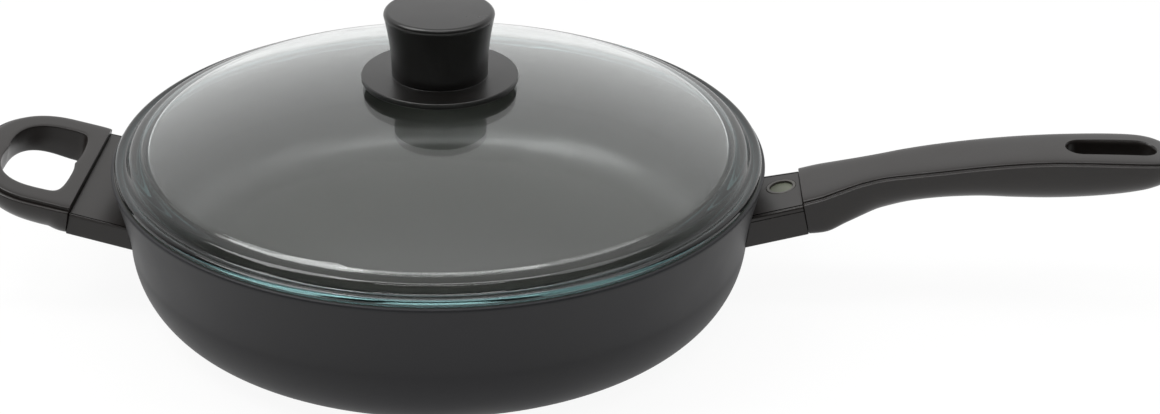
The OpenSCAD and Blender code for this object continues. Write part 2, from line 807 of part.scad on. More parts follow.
pan_body();
long_handle_tang();
long_handle_guard();
heat_indicator_ring();
heat_indicator_disc();
long_handle_grip();
long_handle_screw();
long_handle_washer();
side_handle_tang();
side_handle_guard();
side_handle_grip();
side_handle_screws();
side_handle_washers();
lid_glass();
lid_knob();
knob_insert();
knob_seal();
lid_seal();
lid_washer();
lid_lock_washer();
lid_screw();
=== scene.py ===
"""Looks of a braising pan with a domed glass lid, a long handle and a loop handle.

Blender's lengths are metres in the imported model's frame: the origin is the
centre of the base's underside, +Z is up and the long handle points along +X.
The classes hold their sizes in millimetres and scale them when a mesh is made.
"""

import logging
import math
from dataclasses import dataclass, replace
from enum import Enum
from functools import lru_cache
from typing import Any, Optional, Sequence

import bmesh
import bpy
from mathutils import Matrix, Vector


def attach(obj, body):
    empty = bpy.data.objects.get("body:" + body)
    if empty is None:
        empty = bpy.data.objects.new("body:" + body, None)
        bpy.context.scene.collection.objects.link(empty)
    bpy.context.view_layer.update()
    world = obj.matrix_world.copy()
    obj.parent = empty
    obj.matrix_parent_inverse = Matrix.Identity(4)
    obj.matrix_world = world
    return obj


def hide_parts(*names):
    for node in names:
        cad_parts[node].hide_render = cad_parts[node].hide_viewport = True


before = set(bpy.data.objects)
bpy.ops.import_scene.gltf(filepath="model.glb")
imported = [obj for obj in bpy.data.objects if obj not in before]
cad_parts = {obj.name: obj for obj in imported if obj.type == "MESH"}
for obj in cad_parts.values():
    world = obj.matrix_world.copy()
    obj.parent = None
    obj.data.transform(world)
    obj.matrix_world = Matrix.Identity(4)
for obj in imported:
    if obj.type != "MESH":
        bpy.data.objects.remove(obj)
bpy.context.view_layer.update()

LOG = logging.getLogger("braising_pan")
MM = 0.001
# Turns metres back into millimetres
TO_MM = Matrix.Scale(1 / MM, 4)
# Points closer than this are one, in millimetres
MERGE = 0.002
# Edges that bend by more degrees than this stay sharp
SHARP = 32.0
# Steps along a rounded edge, closer together where it curves most
ROUND_STEPS = (0.0, 0.3, 0.6, 0.85, 1.0)
Point = tuple[float, float]
Point3 = tuple[float, float, float]
Station = tuple[float, float, float, float]


def linear_rgba(code: str) -> tuple[float, float, float, float]:
    """Turns an sRGB hex colour into linear RGBA.

    Args:
        code: The colour as "#rrggbb".

    Returns:
        Red, green, blue and an alpha of one.
    """
    channels = [int(code[i:i + 2], 16) / 255 for i in (1, 3, 5)]
    red, green, blue = (c / 12.92 if c <= 0.04045 else ((c + 0.055) / 1.055) ** 2.4 for c in channels)
    return red, green, blue, 1.0


def add_node(
    tree: bpy.types.NodeTree,
    kind: str,
    settings: Optional[dict[str, Any]] = None,
    inputs: Optional[dict[Any, Any]] = None,
) -> bpy.types.Node:
    """Adds a node with its settings and its linked or plain inputs.

    Args:
        tree: The tree that gets the node.
        kind: The node's type name.
        settings: Attributes to set on the node.
        inputs: Input names or numbers with a value, a socket or a node, whose first output is linked.

    Returns:
        The new node.
    """
    node = tree.nodes.new(kind)
    for name, value in (settings or {}).items():
        setattr(node, name, value)
    for key, value in (inputs or {}).items():
        if isinstance(value, bpy.types.Node):
            tree.links.new(value.outputs[0], node.inputs[key])
        elif isinstance(value, bpy.types.NodeSocket):
            tree.links.new(value, node.inputs[key])
        else:
            node.inputs[key].default_value = value
    return node


def new_material(name: str) -> tuple[bpy.types.Material, bpy.types.NodeTree]:
    """Makes an empty node material.

    Args:
        name: The material's name.

    Returns:
        The material and its cleared node tree.
    """
    material = bpy.data.materials.new(name)
    material.use_nodes = True
    material.node_tree.nodes.clear()
    return material, material.node_tree


class Grain(Enum):
    """How the fine relief of a surface was made."""

    SPRAYED = "sprayed"
    MOULDED = "moulded"
    TURNED = "turned"
    TUMBLED = "tumbled"


@dataclass(frozen=True)
class Finish:
    """An opaque finish with fine relief, broad clouds of tone and varied gloss.

    Attributes:
        name: What the surface is and how it was made.
        colour: Main sRGB colour.
        second_colour: The tone that the clouds and grains drift to.
        roughness: Middle of the roughness.
        spread: How far the roughness drifts to either side.
        grain: How the relief was made.
        grain_mm: Width of one grain or line.
        depth_mm: Height of the relief.
        cloud_mm: Size of the broad clouds.
        metallic: One for bare metal.
        ior: Index of refraction of anything that isn't bare metal.
    """

    name: str
    colour: str
    second_colour: str
    roughness: float
    spread: float
    grain: Grain
    grain_mm: float
    depth_mm: float
    cloud_mm: float = 30.0
    metallic: float = 0.0
    ior: float = 1.5

    def relief(self, tree: bpy.types.NodeTree, place: bpy.types.NodeSocket) -> bpy.types.NodeSocket:
        """Adds the pattern of the fine relief.

        Args:
            tree: The material's tree.
            place: Object coordinates in metres.

        Returns:
            The height of the relief, from zero to one.
        """
        per_metre = 1 / (self.grain_mm * MM)
        if self.grain is Grain.TURNED:
            # A wave texture has a period of 2 pi / (20 scale)
            scale = math.tau * per_metre / 20
            rings = {"wave_type": "RINGS", "rings_direction": "Z"}
            lines = {"Vector": place, "Scale": scale, "Distortion": 0.6, "Detail": 1.0}
            return add_node(tree, "ShaderNodeTexWave", rings, lines).outputs["Fac"]
        if self.grain is Grain.SPRAYED:
            drops = {"Vector": place, "Scale": per_metre, "Smoothness": 0.8}
            return add_node(tree, "ShaderNodeTexVoronoi", {"feature": "SMOOTH_F1"}, drops).outputs["Distance"]
        grains = {"Vector": place, "Scale": per_metre, "Detail": 2.0, "Roughness": 0.6}
        return add_node(tree, "ShaderNodeTexNoise", {}, grains).outputs["Fac"]

    def material(self) -> bpy.types.Material:
        """Builds the node material of this finish.

        Returns:
            The material.
        """
        material, tree = new_material(self.name)
        place = add_node(tree, "ShaderNodeTexCoord").outputs["Object"]
        height = self.relief(tree, place)
        broad = {"Vector": place, "Scale": 1 / (self.cloud_mm * MM), "Detail": 3.0}
        clouds = {"Value": add_node(tree, "ShaderNodeTexNoise", {}, broad), "From Min": 0.3, "From Max": 0.7}
        tones = {**clouds, "To Min": 0.0, "To Max": 0.6}
        sheens = {**clouds, "To Min": self.roughness - self.spread, "To Max": self.roughness + self.spread}
        drift, gloss = (add_node(tree, "ShaderNodeMapRange", {}, ends) for ends in (tones, sheens))
        sum_up = {"operation": "MULTIPLY_ADD", "use_clamp": True}
        tone = add_node(tree, "ShaderNodeMath", sum_up, {0: height, 1: 0.2, 2: drift})
        colours = {"Factor": tone, 6: linear_rgba(self.colour), 7: linear_rgba(self.second_colour)}
        colour = add_node(tree, "ShaderNodeMix", {"data_type": "RGBA"}, colours).outputs[2]
        relief = {"Height": height, "Strength": 1.0, "Distance": self.depth_mm * MM}
        bump = add_node(tree, "ShaderNodeBump", {}, relief)
        surface = {"Base Color": colour, "Roughness": gloss, "Metallic": self.metallic, "Normal": bump}
        if not self.metallic:
            surface["IOR"] = self.ior
        shader = add_node(tree, "ShaderNodeBsdfPrincipled", {}, surface)
        add_node(tree, "ShaderNodeOutputMaterial", {}, {"Surface": shader})
        return material


@dataclass(frozen=True)
class PressedGlass:
    """Clear soda-lime glass that shows its green only where the eye looks far through it, with painted shade
    on its thick shoulder.

    Attributes:
        name: What the surface is and how it was made.
        tint: Colour that the glass lets through.
        density: How fast the glass takes on that colour, per metre.
        painted_shoulder_shade: Grey painted shade that dims what the thick shoulder lets through, standing in
            for the dark band that its refraction makes.
        edge_tint: What the bead lets through.
        zones: Radii in metres between which the shoulder's painted shade sets in, and then the bead's tint.
        shadow_tint: Colour of the light that lamps send through it.
        ior: Index of refraction.
        wave_mm: Width of the faint waves that the press leaves.
        wave_depth_mm: Height of those waves.
    """

    name: str
    tint: str
    density: float
    painted_shoulder_shade: str
    edge_tint: str
    zones: tuple[float, float, float, float]
    shadow_tint: str = "#e6eeeb"
    ior: float = 1.5
    wave_mm: float = 18.0
    wave_depth_mm: float = 0.02

    def material(self) -> bpy.types.Material:
        """Builds the glass, which lets the light of lamps through.

        Returns:
            The material.
        """
        material, tree = new_material(self.name)
        place = add_node(tree, "ShaderNodeTexCoord").outputs["Object"]
        broad = {"Vector": place, "Scale": 1 / (self.wave_mm * MM), "Detail": 1.0}
        waves = add_node(tree, "ShaderNodeTexNoise", {}, broad)
        relief = {"Height": waves, "Strength": 1.0, "Distance": self.wave_depth_mm * MM}
        bump = add_node(tree, "ShaderNodeBump", {}, relief)
        level = {0: place, 1: (1.0, 1.0, 0.0)}
        flat = add_node(tree, "ShaderNodeVectorMath", {"operation": "MULTIPLY"}, level)
        radius = add_node(tree, "ShaderNodeVectorMath", {"operation": "LENGTH"}, {0: flat}).outputs["Value"]
        colour: Any = linear_rgba("#ffffff")
        smooth = {"interpolation_type": "SMOOTHSTEP"}
        # The shoulder's grey is painted shade; the bead's green blue is the glass's own colour
        for start, end, tint in ((*self.zones[:2], self.painted_shoulder_shade), (*self.zones[2:], self.edge_tint)):
            band = {"Value": radius, "From Min": start, "From Max": end}
            zone = add_node(tree, "ShaderNodeMapRange", smooth, band)
            tints = {"Factor": zone, 6: colour, 7: linear_rgba(tint)}
            colour = add_node(tree, "ShaderNodeMix", {"data_type": "RGBA"}, tints).outputs[2]
        surface = {"Base Color": colour, "Roughness": 0.0, "IOR": self.ior, "Normal": bump}
        surface["Transmission Weight"] = 1.0
        glass = add_node(tree, "ShaderNodeBsdfPrincipled", {}, surface)
        clear = add_node(tree, "ShaderNodeBsdfTransparent", {}, {"Color": linear_rgba(self.shadow_tint)})
        shadow = add_node(tree, "ShaderNodeLightPath").outputs["Is Shadow Ray"]
        mix = add_node(tree, "ShaderNodeMixShader", {}, {0: shadow, 1: glass, 2: clear})
        depth = {"Color": linear_rgba(self.tint), "Density": self.density}
        body = add_node(tree, "ShaderNodeVolumeAbsorption", {}, depth)
        add_node(tree, "ShaderNodeOutputMaterial", {}, {"Surface": mix, "Volume": body})
        return material


@dataclass(frozen=True)
class StudioFloor:
    """Pale floor that reads as white paper and keeps the object's soft shadow.

    Attributes:
        name: The material's name.
        colour: Colour of the paper.
        shadow_share: How much of the lit paper shows, the rest being plain white.
        front: How white a mirrored floor is in front of the object, where the studio is dim.
        ramp: Places along Y between which it brightens, in metres.
    """

    name: str = "white_paper_floor"
    colour: str = "#f7f7f5"
    shadow_share: float = 0.07
    front: float = 0.03
    ramp: Point = (-0.55, -0.05)

    def material(self) -> bpy.types.Material:
        """Builds the floor's material.

        Returns:
            The material.
        """
        material, tree = new_material(self.name)
        place = add_node(tree, "ShaderNodeTexCoord").outputs["Object"]
        across = add_node(tree, "ShaderNodeSeparateXYZ", {}, {"Vector": place}).outputs["Y"]
        white_share = 1 - self.shadow_share
        near, far = self.ramp
        ends = {"From Min": near, "From Max": far, "To Min": self.front, "To Max": white_share}
        smooth = {"interpolation_type": "SMOOTHSTEP"}
        depth = add_node(tree, "ShaderNodeMapRange", smooth, {"Value": across, **ends}).outputs["Result"]
        paper = add_node(tree, "ShaderNodeBsdfDiffuse", {}, {"Color": linear_rgba(self.colour)})
        white = add_node(tree, "ShaderNodeEmission", {}, {"Color": linear_rgba("#ffffff"), "Strength": 1.0})
        seen = background_share(tree, white_share, depth, 0.0)
        mix = add_node(tree, "ShaderNodeMixShader", {}, {0: seen, 1: paper, 2: white})
        add_node(tree, "ShaderNodeOutputMaterial", {}, {"Surface": mix})
        return material


def background_share(
    tree: bpy.types.NodeTree, seen: float, mirrored: bpy.types.NodeSocket, otherwise: Any
) -> bpy.types.NodeSocket:
    """Adds how white the background is for each kind of ray.

    Args:
        tree: The tree to add to.
        seen: The share for camera rays.
        mirrored: The share for rays that a surface has mirrored or the glass has bent.
        otherwise: A share or a socket for all other rays.

    Returns:
        A socket with the share.
    """
    path = add_node(tree, "ShaderNodeLightPath").outputs
    bends = {0: path["Is Glossy Ray"], 1: path["Is Transmission Ray"]}
    bent = add_node(tree, "ShaderNodeMath", {"operation": "MAXIMUM"}, bends)
    shiny = add_node(tree, "ShaderNodeMix", {"data_type": "FLOAT"}, {0: bent, 2: otherwise, 3: mirrored})
    shares = {0: path["Is Camera Ray"], 2: shiny, 3: seen}
    return add_node(tree, "ShaderNodeMix", {"data_type": "FLOAT"}, shares).outputs[0]


# Sprayed two-coat PTFE on cast aluminium: matt charcoal with a fine orange peel
COATED_OUTSIDE = Finish(
    "sprayed_ptfe_coat_outside", "#212123", "#27272a", 0.5, 0.04, Grain.SPRAYED, 0.9, 0.01, 40.0, ior=1.33
)
# The same coat inside is rolled smoother and shines a little more
COATED_INSIDE = Finish(
    "smooth_ptfe_coat_inside", "#2f2e2b", "#353431", 0.3, 0.0, Grain.MOULDED, 1.0, 0.0012, 30.0
)
# Lathe-turned cast aluminium: concentric lines that break up the reflection
TURNED_ALUMINIUM = Finish(
    "turned_cast_aluminium", "#b9b9b6", "#a4a4a1", 0.32, 0.05, Grain.TURNED, 0.5, 0.01, 20.0, 1.0
)
# Phenolic moulding under satin lacquer: soft sheen over a fine etched grain
HANDLE_LACQUER = Finish(
    "satin_lacquered_phenolic", "#1b1816", "#221e1c", 0.33, 0.04, Grain.MOULDED, 0.8, 0.012, 22.0, ior=1.43
)
# Bare compression-moulded phenolic: near black with a dull polish
KNOB_PHENOLIC = Finish(
    "compression_moulded_phenolic", "#0e0d0c", "#131211", 0.3, 0.03, Grain.MOULDED, 0.7, 0.008, 18.0
)
# Moulded nylon ring of the heat indicator, a shade lighter than the guard
INDICATOR_RING = Finish(
    "moulded_nylon_ring", "#3a3733", "#43403b", 0.3, 0.03, Grain.MOULDED, 0.5, 0.006, 8.0
)
# Thermochromic silicone disc, grey green when cold
INDICATOR_DISC = Finish(
    "thermochromic_silicone", "#5c6052", "#666a5b", 0.5, 0.03, Grain.MOULDED, 0.4, 0.008, 6.0
)
# Extruded and bent aluminium of the tangs, dulled by tumbling
TANG_ALUMINIUM = Finish(
    "tumbled_extruded_aluminium", "#b4b4b1", "#a2a29f", 0.42, 0.05, Grain.TUMBLED, 0.6, 0.01, 15.0, 1.0
)
# Cold-headed stainless steel of screws and washers
FASTENER_STEEL = Finish(
    "cold_headed_stainless_steel", "#c2c1be", "#adaca9", 0.28, 0.05, Grain.TUMBLED, 0.4, 0.006, 8.0, 1.0
)
# Free-cutting brass, turned, moulded into the knob
INSERT_BRASS = Finish(
    "turned_free_cutting_brass", "#c9a562", "#b4914f", 0.3, 0.04, Grain.TURNED, 0.3, 0.008, 8.0, 1.0
)
# Heat-cured silicone rubber of the seals
SEAL_RUBBER = Finish(
    "moulded_silicone_rubber", "#2b2b2b", "#343434", 0.6, 0.04, Grain.MOULDED, 0.5, 0.012, 8.0
)
# Pressed and tempered soda-lime glass: clear, with a green blue edge and a grey painted shade on its shoulder
LID_GLASS = PressedGlass(
    "pressed_soda_lime_glass", "#8fc4bd", 10.0, "#6f6f6b", "#203a3d", (0.1262, 0.128, 0.1325, 0.134)
)
# The nodes that are shown as they were packed
PACKED_FINISHES = {
    "long_handle_tang": TANG_ALUMINIUM,
    "side_handle_tang": TANG_ALUMINIUM,
    "knob_seal": SEAL_RUBBER,
    "lid_seal": SEAL_RUBBER,
    "knob_insert": INSERT_BRASS,
}


def arc(
    centre: Point, radii: Point, start: float, end: float, steps: int, power: float = 2.0
) -> list[Point]:
    """Points along an upright elliptical arc, or a squarer one.

    Args:
        centre: The arc's centre.
        radii: Its two half axes.
        start: First angle in degrees.
        end: Last angle in degrees.
        steps: Number of steps between them.
        power: Two for an ellipse, more for a squarer arc.

    Returns:
        steps + 1 points.
    """
    points = []
    for i in range(steps + 1):
        turn = math.radians(start + (end - start) * i / steps)
        across, up = signed_pow(math.cos(turn), power), signed_pow(math.sin(turn), power)
        points.append((centre[0] + radii[0] * across, centre[1] + radii[1] * up))
    return points


def signed_pow(value: float, power: float) -> float:
    """Cosine or sine value of a superellipse of that power."""
    return math.copysign(abs(value) ** (2 / power), value)


def round_off(step: float) -> float:
    """How far a rounded edge has curved in, as a share of its radius, at a step along it."""
    return 1 - math.sqrt(1 - step ** 2)


def eased(value: float) -> float:
    """Smooth step from zero to one."""
    clamped = min(1.0, max(0.0, value))
    return clamped * clamped * (3 - 2 * clamped)


def smooth_rows(rows: Sequence[Station], substeps: int) -> list[Station]:
    """Runs a Catmull-Rom curve through rows of numbers.

    Args:
        rows: The rows to pass through.
        substeps: Steps between neighbouring rows.

    Returns:
        The denser rows.
    """
    last = len(rows) - 1
    dense: list[Station] = []
    for i in range(last):
        a, b, c, d = (rows[max(0, min(last, i + k))] for k in (-1, 0, 1, 2))
        for step in range(substeps):
            t = step / substeps
            row = []
            for p, q, r, s in zip(a, b, c, d):
                square, cube = 2 * p - 5 * q + 4 * r - s, 3 * q - 3 * r + s - p
                row.append((2 * q + (r - p) * t + square * t ** 2 + cube * t ** 3) / 2)
            dense.append(tuple(row))
    return dense + [rows[last]]


class NodeForm:
    """A Geometry Nodes tree that turns a few points or an outline into a solid piece.

    A subclass names its sizes and adds the nodes between the points that come in
    and the form that goes out.
    """

    name = "form"
    sizes: tuple[str, ...] = ()
    # Inputs that aren't plain lengths
    kinds = {"Geometry": "Geometry", "Segments": "Int", "Split": "Bool", "Material": "Material"}

    def __init__(self) -> None:
        """Builds the tree with its named inputs."""
        self.tree = bpy.data.node_groups.new(self.name, "GeometryNodeTree")
        face = self.tree.interface
        self.keys = {}
        for label in ("Geometry", *self.sizes, "Material"):
            kind = f"NodeSocket{self.kinds.get(label, 'Float')}"
            self.keys[label] = face.new_socket(name=label, in_out="INPUT", socket_type=kind).identifier
        face.new_socket(name="Geometry", in_out="OUTPUT", socket_type="NodeSocketGeometry")
        given = add_node(self.tree, "NodeGroupInput").outputs
        made = add_node(self.tree, "GeometryNodeRealizeInstances", {}, {"Geometry": self.form(given)})
        stuff = {"Geometry": made, "Material": given["Material"]}
        dressed = add_node(self.tree, "GeometryNodeSetMaterial", {}, stuff)
        add_node(self.tree, "NodeGroupOutput", {}, {"Geometry": dressed})

    def form(self, given: Any) -> bpy.types.Node:
        """Adds the nodes that make the form.

        Args:
            given: The sockets of the tree's inputs.

        Returns:
            The node whose first output is the finished geometry.
        """
        raise NotImplementedError

    def cast(
        self,
        points: Sequence[Point3],
        closed: Optional[bool],
        sizes: dict[str, Any],
        material: Optional[bpy.types.Material] = None,
    ) -> bmesh.types.BMesh:
        """Runs the tree once and returns plain mesh.

        Args:
            points: Points in metres.
            closed: None for loose points, else whether the line through them closes.
            sizes: A value for each named input.
            material: The form's material, if all of it has the same one.

        Returns:
            The form.
        """
        seed = bmesh.new()
        verts = [seed.verts.new(point) for point in points]
        if closed is not None:
            for start, end in list(zip(verts, verts[1:])) + ([(verts[-1], verts[0])] if closed else []):
                seed.edges.new((start, end))
        mesh = bpy.data.meshes.new(f"{self.name}_seed")
        seed.to_mesh(mesh)
        seed.free()
        holder = bpy.data.objects.new(mesh.name, mesh)
        bpy.context.scene.collection.objects.link(holder)
        modifier = holder.modifiers.new(self.name, "NODES")
        modifier.node_group = self.tree
        if material:
            modifier[self.keys["Material"]] = material
        for label, value in sizes.items():
            modifier[self.keys[label]] = value
        shown = holder.evaluated_get(bpy.context.evaluated_depsgraph_get())
        result = bpy.data.meshes.new_from_object(shown)
        skin = bmesh.new()
        skin.from_mesh(result)
        bmesh.ops.recalc_face_normals(skin, faces=skin.faces)
        holder.modifiers.clear()
        bpy.data.objects.remove(holder)
        for used in (mesh, result):
            bpy.data.meshes.remove(used)
        return skin


class TurnedForm(NodeForm):
    """An outline swept once round the Z axis, as on a lathe."""

    name = "turned_form"
    sizes = ("Segments", "Hub Radius", "Merge")

    def form(self, given: Any) -> bpy.types.Node:
        """Sweeps the outline round a small hub and closes its poles.

        Args:
            given: The sockets of the tree's inputs.

        Returns:
            The node of the turned form.
        """
        outline = add_node(self.tree, "GeometryNodeMeshToCurve", {}, {"Mesh": given["Geometry"]})
        round_hub = {"Resolution": given["Segments"], "Radius": given["Hub Radius"]}
        hub = add_node(self.tree, "GeometryNodeCurvePrimitiveCircle", {"mode": "RADIUS"}, round_hub)
        swept = add_node(self.tree, "GeometryNodeCurveToMesh", {}, {"Curve": hub, "Profile Curve": outline})
        poles = {"Geometry": swept, "Distance": given["Merge"]}
        return add_node(self.tree, "GeometryNodeMergeByDistance", {}, poles)


class PanHeadScrew(NodeForm):
    """A pan head screw on each point: domed head with a cross recess, shank and rolled thread."""

    name = "pan_head_screw"
    sizes = ("Head Radius", "Head Height", "Shank Radius", "Shank Length", "Pitch", "Recess Width")
    # What the tree works out from its inputs: each size, the operation and its two terms
    derived = (
        ("Recess Length", "MULTIPLY", "Head Radius", 1.1),
        ("Blade Height", "MULTIPLY", "Head Height", 1.2),
        ("Blade Middle", "MULTIPLY", "Head Height", -1.05),
        ("Core Drop", "MULTIPLY", "Pitch", 0.45),
        ("Core Radius", "SUBTRACT", "Shank Radius", "Core Drop"),
        ("Shank Middle", "MULTIPLY", "Shank Length", 0.5),
        ("Ridge Radius", "MULTIPLY", "Pitch", 0.42),
        ("Path Radius", "SUBTRACT", "Shank Radius", "Ridge Radius"),
        ("Plain Ends", "MULTIPLY", "Pitch", 2.0),
        ("Thread Length", "SUBTRACT", "Shank Length", "Plain Ends"),
        ("Thread Turns", "DIVIDE", "Thread Length", "Pitch"),
    )
    # Turns the height of a ball's lower half into that of the head; 0.7 makes its edge fuller
    fall = (("MINIMUM", 0.0), ("ABSOLUTE", 0.0), ("POWER", 0.7), ("MULTIPLY", -1.0))

    def worked_out(self, given: Any) -> dict[str, Any]:
        """Adds the sizes that follow from the tree's inputs.

        Args:
            given: The sockets of the tree's inputs.

        Returns:
            A socket or node for each given and derived size.
        """
        known = {label: given[label] for label in self.sizes}
        for label, operation, *terms in self.derived:
            inputs = {number: known.get(term, term) for number, term in enumerate(terms)}
            known[label] = add_node(self.tree, "ShaderNodeMath", {"operation": operation}, inputs)
        return known

    def head(self, size: dict[str, Any]) -> bpy.types.Node:
        """Adds the domed head, its flat side up, with its cross recess.

        Args:
            size: A socket or node for each size of the screw.

        Returns:
            The node of the head.
        """
        sphere = {"Segments": 48, "Rings": 32, "Radius": 1.0}
        ball = add_node(self.tree, "GeometryNodeMeshUVSphere", {}, sphere)
        spot = add_node(self.tree, "GeometryNodeInputPosition")
        across, along, up = add_node(self.tree, "ShaderNodeSeparateXYZ", {}, {"Vector": spot}).outputs
        for operation, term in self.fall:
            up = add_node(self.tree, "ShaderNodeMath", {"operation": operation}, {0: up, 1: term})
        unit = add_node(self.tree, "ShaderNodeCombineXYZ", {}, {0: across, 1: along, 2: up})
        halves = {0: size["Head Radius"], 1: size["Head Radius"], 2: size["Head Height"]}
        scale = add_node(self.tree, "ShaderNodeCombineXYZ", {}, halves)
        dome = add_node(self.tree, "ShaderNodeVectorMath", {"operation": "MULTIPLY"}, {0: unit, 1: scale})
        cut = add_node(self.tree, "GeometryNodeSetPosition", {}, {"Geometry": ball, "Position": dome})
        sides = {0: size["Recess Length"], 1: size["Recess Width"], 2: size["Blade Height"]}
        box = add_node(self.tree, "ShaderNodeCombineXYZ", {}, sides)
        bar = add_node(self.tree, "GeometryNodeMeshCube", {}, {"Size": box})
        low = add_node(self.tree, "ShaderNodeCombineXYZ", {}, {"Z": size["Blade Middle"]})
        for turn in (0.0, math.pi / 2):
            stand = {"Geometry": bar, "Translation": low, "Rotation": (0.0, 0.0, turn)}
            blade = add_node(self.tree, "GeometryNodeTransform", {}, stand)
            solver = {"operation": "DIFFERENCE", "solver": "EXACT"}
            cut = add_node(self.tree, "GeometryNodeMeshBoolean", solver, {"Mesh 1": cut, "Mesh 2": blade})
        return cut

    def shank(self, size: dict[str, Any]) -> bpy.types.Node:
        """Adds the core of the shank.

        Args:
            size: A socket or node for each size of the screw.

        Returns:
            The node of the core.
        """
        bar = {"Vertices": 32, "Radius": size["Core Radius"], "Depth": size["Shank Length"]}
        core = add_node(self.tree, "GeometryNodeMeshCylinder", {}, bar)
        middle = add_node(self.tree, "ShaderNodeCombineXYZ", {}, {"Z": size["Shank Middle"]})
        return add_node(self.tree, "GeometryNodeTransform", {}, {"Geometry": core, "Translation": middle})

    def thread(self, size: dict[str, Any]) -> bpy.types.Node:
        """Adds the ridge of the thread that runs round the shank.

        Args:
            size: A socket or node for each size of the screw.

        Returns:
            The node of the ridge.
        """
        spiral = {"Resolution": 24, "Rotations": size["Thread Turns"], "Height": size["Thread Length"]}
        ends = {"Start Radius": size["Path Radius"], "End Radius": size["Path Radius"]}
        helix = add_node(self.tree, "GeometryNodeCurveSpiral", {}, {**spiral, **ends})
        diamond = {"Resolution": 4, "Radius": size["Ridge Radius"]}
        edge = add_node(self.tree, "GeometryNodeCurvePrimitiveCircle", {"mode": "RADIUS"}, diamond)
        sweep = {"Curve": helix, "Profile Curve": edge, "Fill Caps": True}
        ridge = add_node(self.tree, "GeometryNodeCurveToMesh", {}, sweep)
        start = add_node(self.tree, "ShaderNodeCombineXYZ", {}, {"Z": size["Pitch"]})
        return add_node(self.tree, "GeometryNodeTransform", {}, {"Geometry": ridge, "Translation": start})

    def form(self, given: Any) -> bpy.types.Node:
        """Stands one screw on each point.

        Args:
            given: The sockets of the tree's inputs.

        Returns:
            The node of all screws.
        """
        size = self.worked_out(given)
        joined = add_node(self.tree, "GeometryNodeJoinGeometry")
        for part in (self.head(size), self.shank(size), self.thread(size)):
            self.tree.links.new(part.outputs[0], joined.inputs["Geometry"])
        stand = {"Points": given["Geometry"], "Instance": joined}
        return add_node(self.tree, "GeometryNodeInstanceOnPoints", {}, stand)


class RolledWasher(NodeForm):
    """A washer on each point, closed and flat or split as a spring washer."""

    name = "rolled_washer"
    sizes = ("Middle Radius", "Width", "Thickness", "Rounding", "Split", "Split Rise")
    # How much of a whole turn a split washer makes
    split_turn = 0.955
    steps = 96

    def form(self, given: Any) -> bpy.types.Node:
        """Sweeps a rounded bar round a circle or round one open turn.

        Args:
            given: The sockets of the tree's inputs.

        Returns:
            The node of all washers.
        """
        radius = given["Middle Radius"]
        circle = {"Resolution": self.steps, "Radius": radius}
        ring = add_node(self.tree, "GeometryNodeCurvePrimitiveCircle", {"mode": "RADIUS"}, circle)
        spiral = {"Resolution": self.steps, "Rotations": self.split_turn, "Height": given["Split Rise"]}
        ends = {"Start Radius": radius, "End Radius": radius}
        turn = add_node(self.tree, "GeometryNodeCurveSpiral", {}, {**spiral, **ends})
        choice = {"Switch": given["Split"], "False": ring, "True": turn}
        path = add_node(self.tree, "GeometryNodeSwitch", {"input_type": "GEOMETRY"}, choice)
        sides = {"Width": given["Width"], "Height": given["Thickness"]}
        bar = add_node(self.tree, "GeometryNodeCurvePrimitiveQuadrilateral", {"mode": "RECTANGLE"}, sides)
        corners = {"Curve": bar, "Radius": given["Rounding"], "Count": 3}
        soft = add_node(self.tree, "GeometryNodeFilletCurve", {"mode": "POLY"}, corners)
        sweep = {"Curve": path, "Profile Curve": soft, "Fill Caps": True}
        swept = add_node(self.tree, "GeometryNodeCurveToMesh", {}, sweep)
        stand = {"Points": given["Geometry"], "Instance": swept}
        return add_node(self.tree, "GeometryNodeInstanceOnPoints", {}, stand)


@lru_cache(maxsize=None)
def node_form(kind: type[NodeForm]) -> NodeForm:
    """A kind of form, whose tree is built once."""
    return kind()


def lathe(outline: Sequence[Point], segments: int, closed: bool = False) -> bmesh.types.BMesh:
    """Turns an outline about the Z axis.

    Args:
        outline: Radius and height pairs in millimetres.
        segments: Steps round the axis.
        closed: True if the last point joins the first, else both ends lie on the axis.

    Returns:
        The turned skin.
    """
    hub = 1.0
    points = [((radius - hub) * MM, -height * MM, 0.0) for radius, height in outline]
    sizes = {"Segments": segments, "Hub Radius": hub * MM, "Merge": MERGE * MM}
    return node_form(TurnedForm).cast(points, closed, sizes)


def post(place: Matrix, spot: Point, ends: Point, radius: float, steps: int) -> bmesh.types.BMesh:
    """Round post in a handle's own frame, used as a cutter.

    Args:
        place: Turns the handle's millimetres into metres of the row frame.
        spot: Place along and across the handle.
        ends: Lower and upper end.
        radius: Its radius.
        steps: Steps round it.

    Returns:
        The closed skin in the row frame.
    """
    low, high = ends
    skin = lathe([(0.0, low), (radius, low), (radius, high), (0.0, high)], steps)
    skin.transform(place @ Matrix.Translation((*spot, 0.0)) @ TO_MM)
    return skin


def handle_place(radius: float, height: float, rise_degrees: float) -> Matrix:
    """Frame of a handle that points along +X and rises outwards.

    Args:
        radius: Distance of its joint from the pan's axis, in millimetres.
        height: Height of the joint's top edge.
        rise_degrees: How steeply it rises.

    Returns:
        A matrix that turns the handle's own millimetres into metres of the row frame.
    """
    start = Matrix.Translation(Vector((radius, 0.0, height)) * MM)
    return start @ Matrix.Rotation(math.radians(-rise_degrees), 4, "Y") @ Matrix.Scale(MM, 4)


def skin_over(rings: Sequence[Sequence[Vector]], closed: bool = False) -> bmesh.types.BMesh:
    """Lays a skin over a row of equal rings.

    Args:
        rings: Rings of points in metres.
        closed: True if the last ring joins the first, else both ends are capped.

    Returns:
        The closed skin.
    """
    skin = bmesh.new()
    rows = [[skin.verts.new(point) for point in ring] for ring in rings]
    pairs = list(zip(rows, rows[1:])) + ([(rows[-1], rows[0])] if closed else [])
    count = len(rows[0])
    for near, far in pairs:
        for i in range(count):
            k = (i + 1) % count
            skin.faces.new((near[i], near[k], far[k], far[i]))
    if not closed:
        skin.faces.new(rows[0])
        skin.faces.new(rows[-1])
    return skin


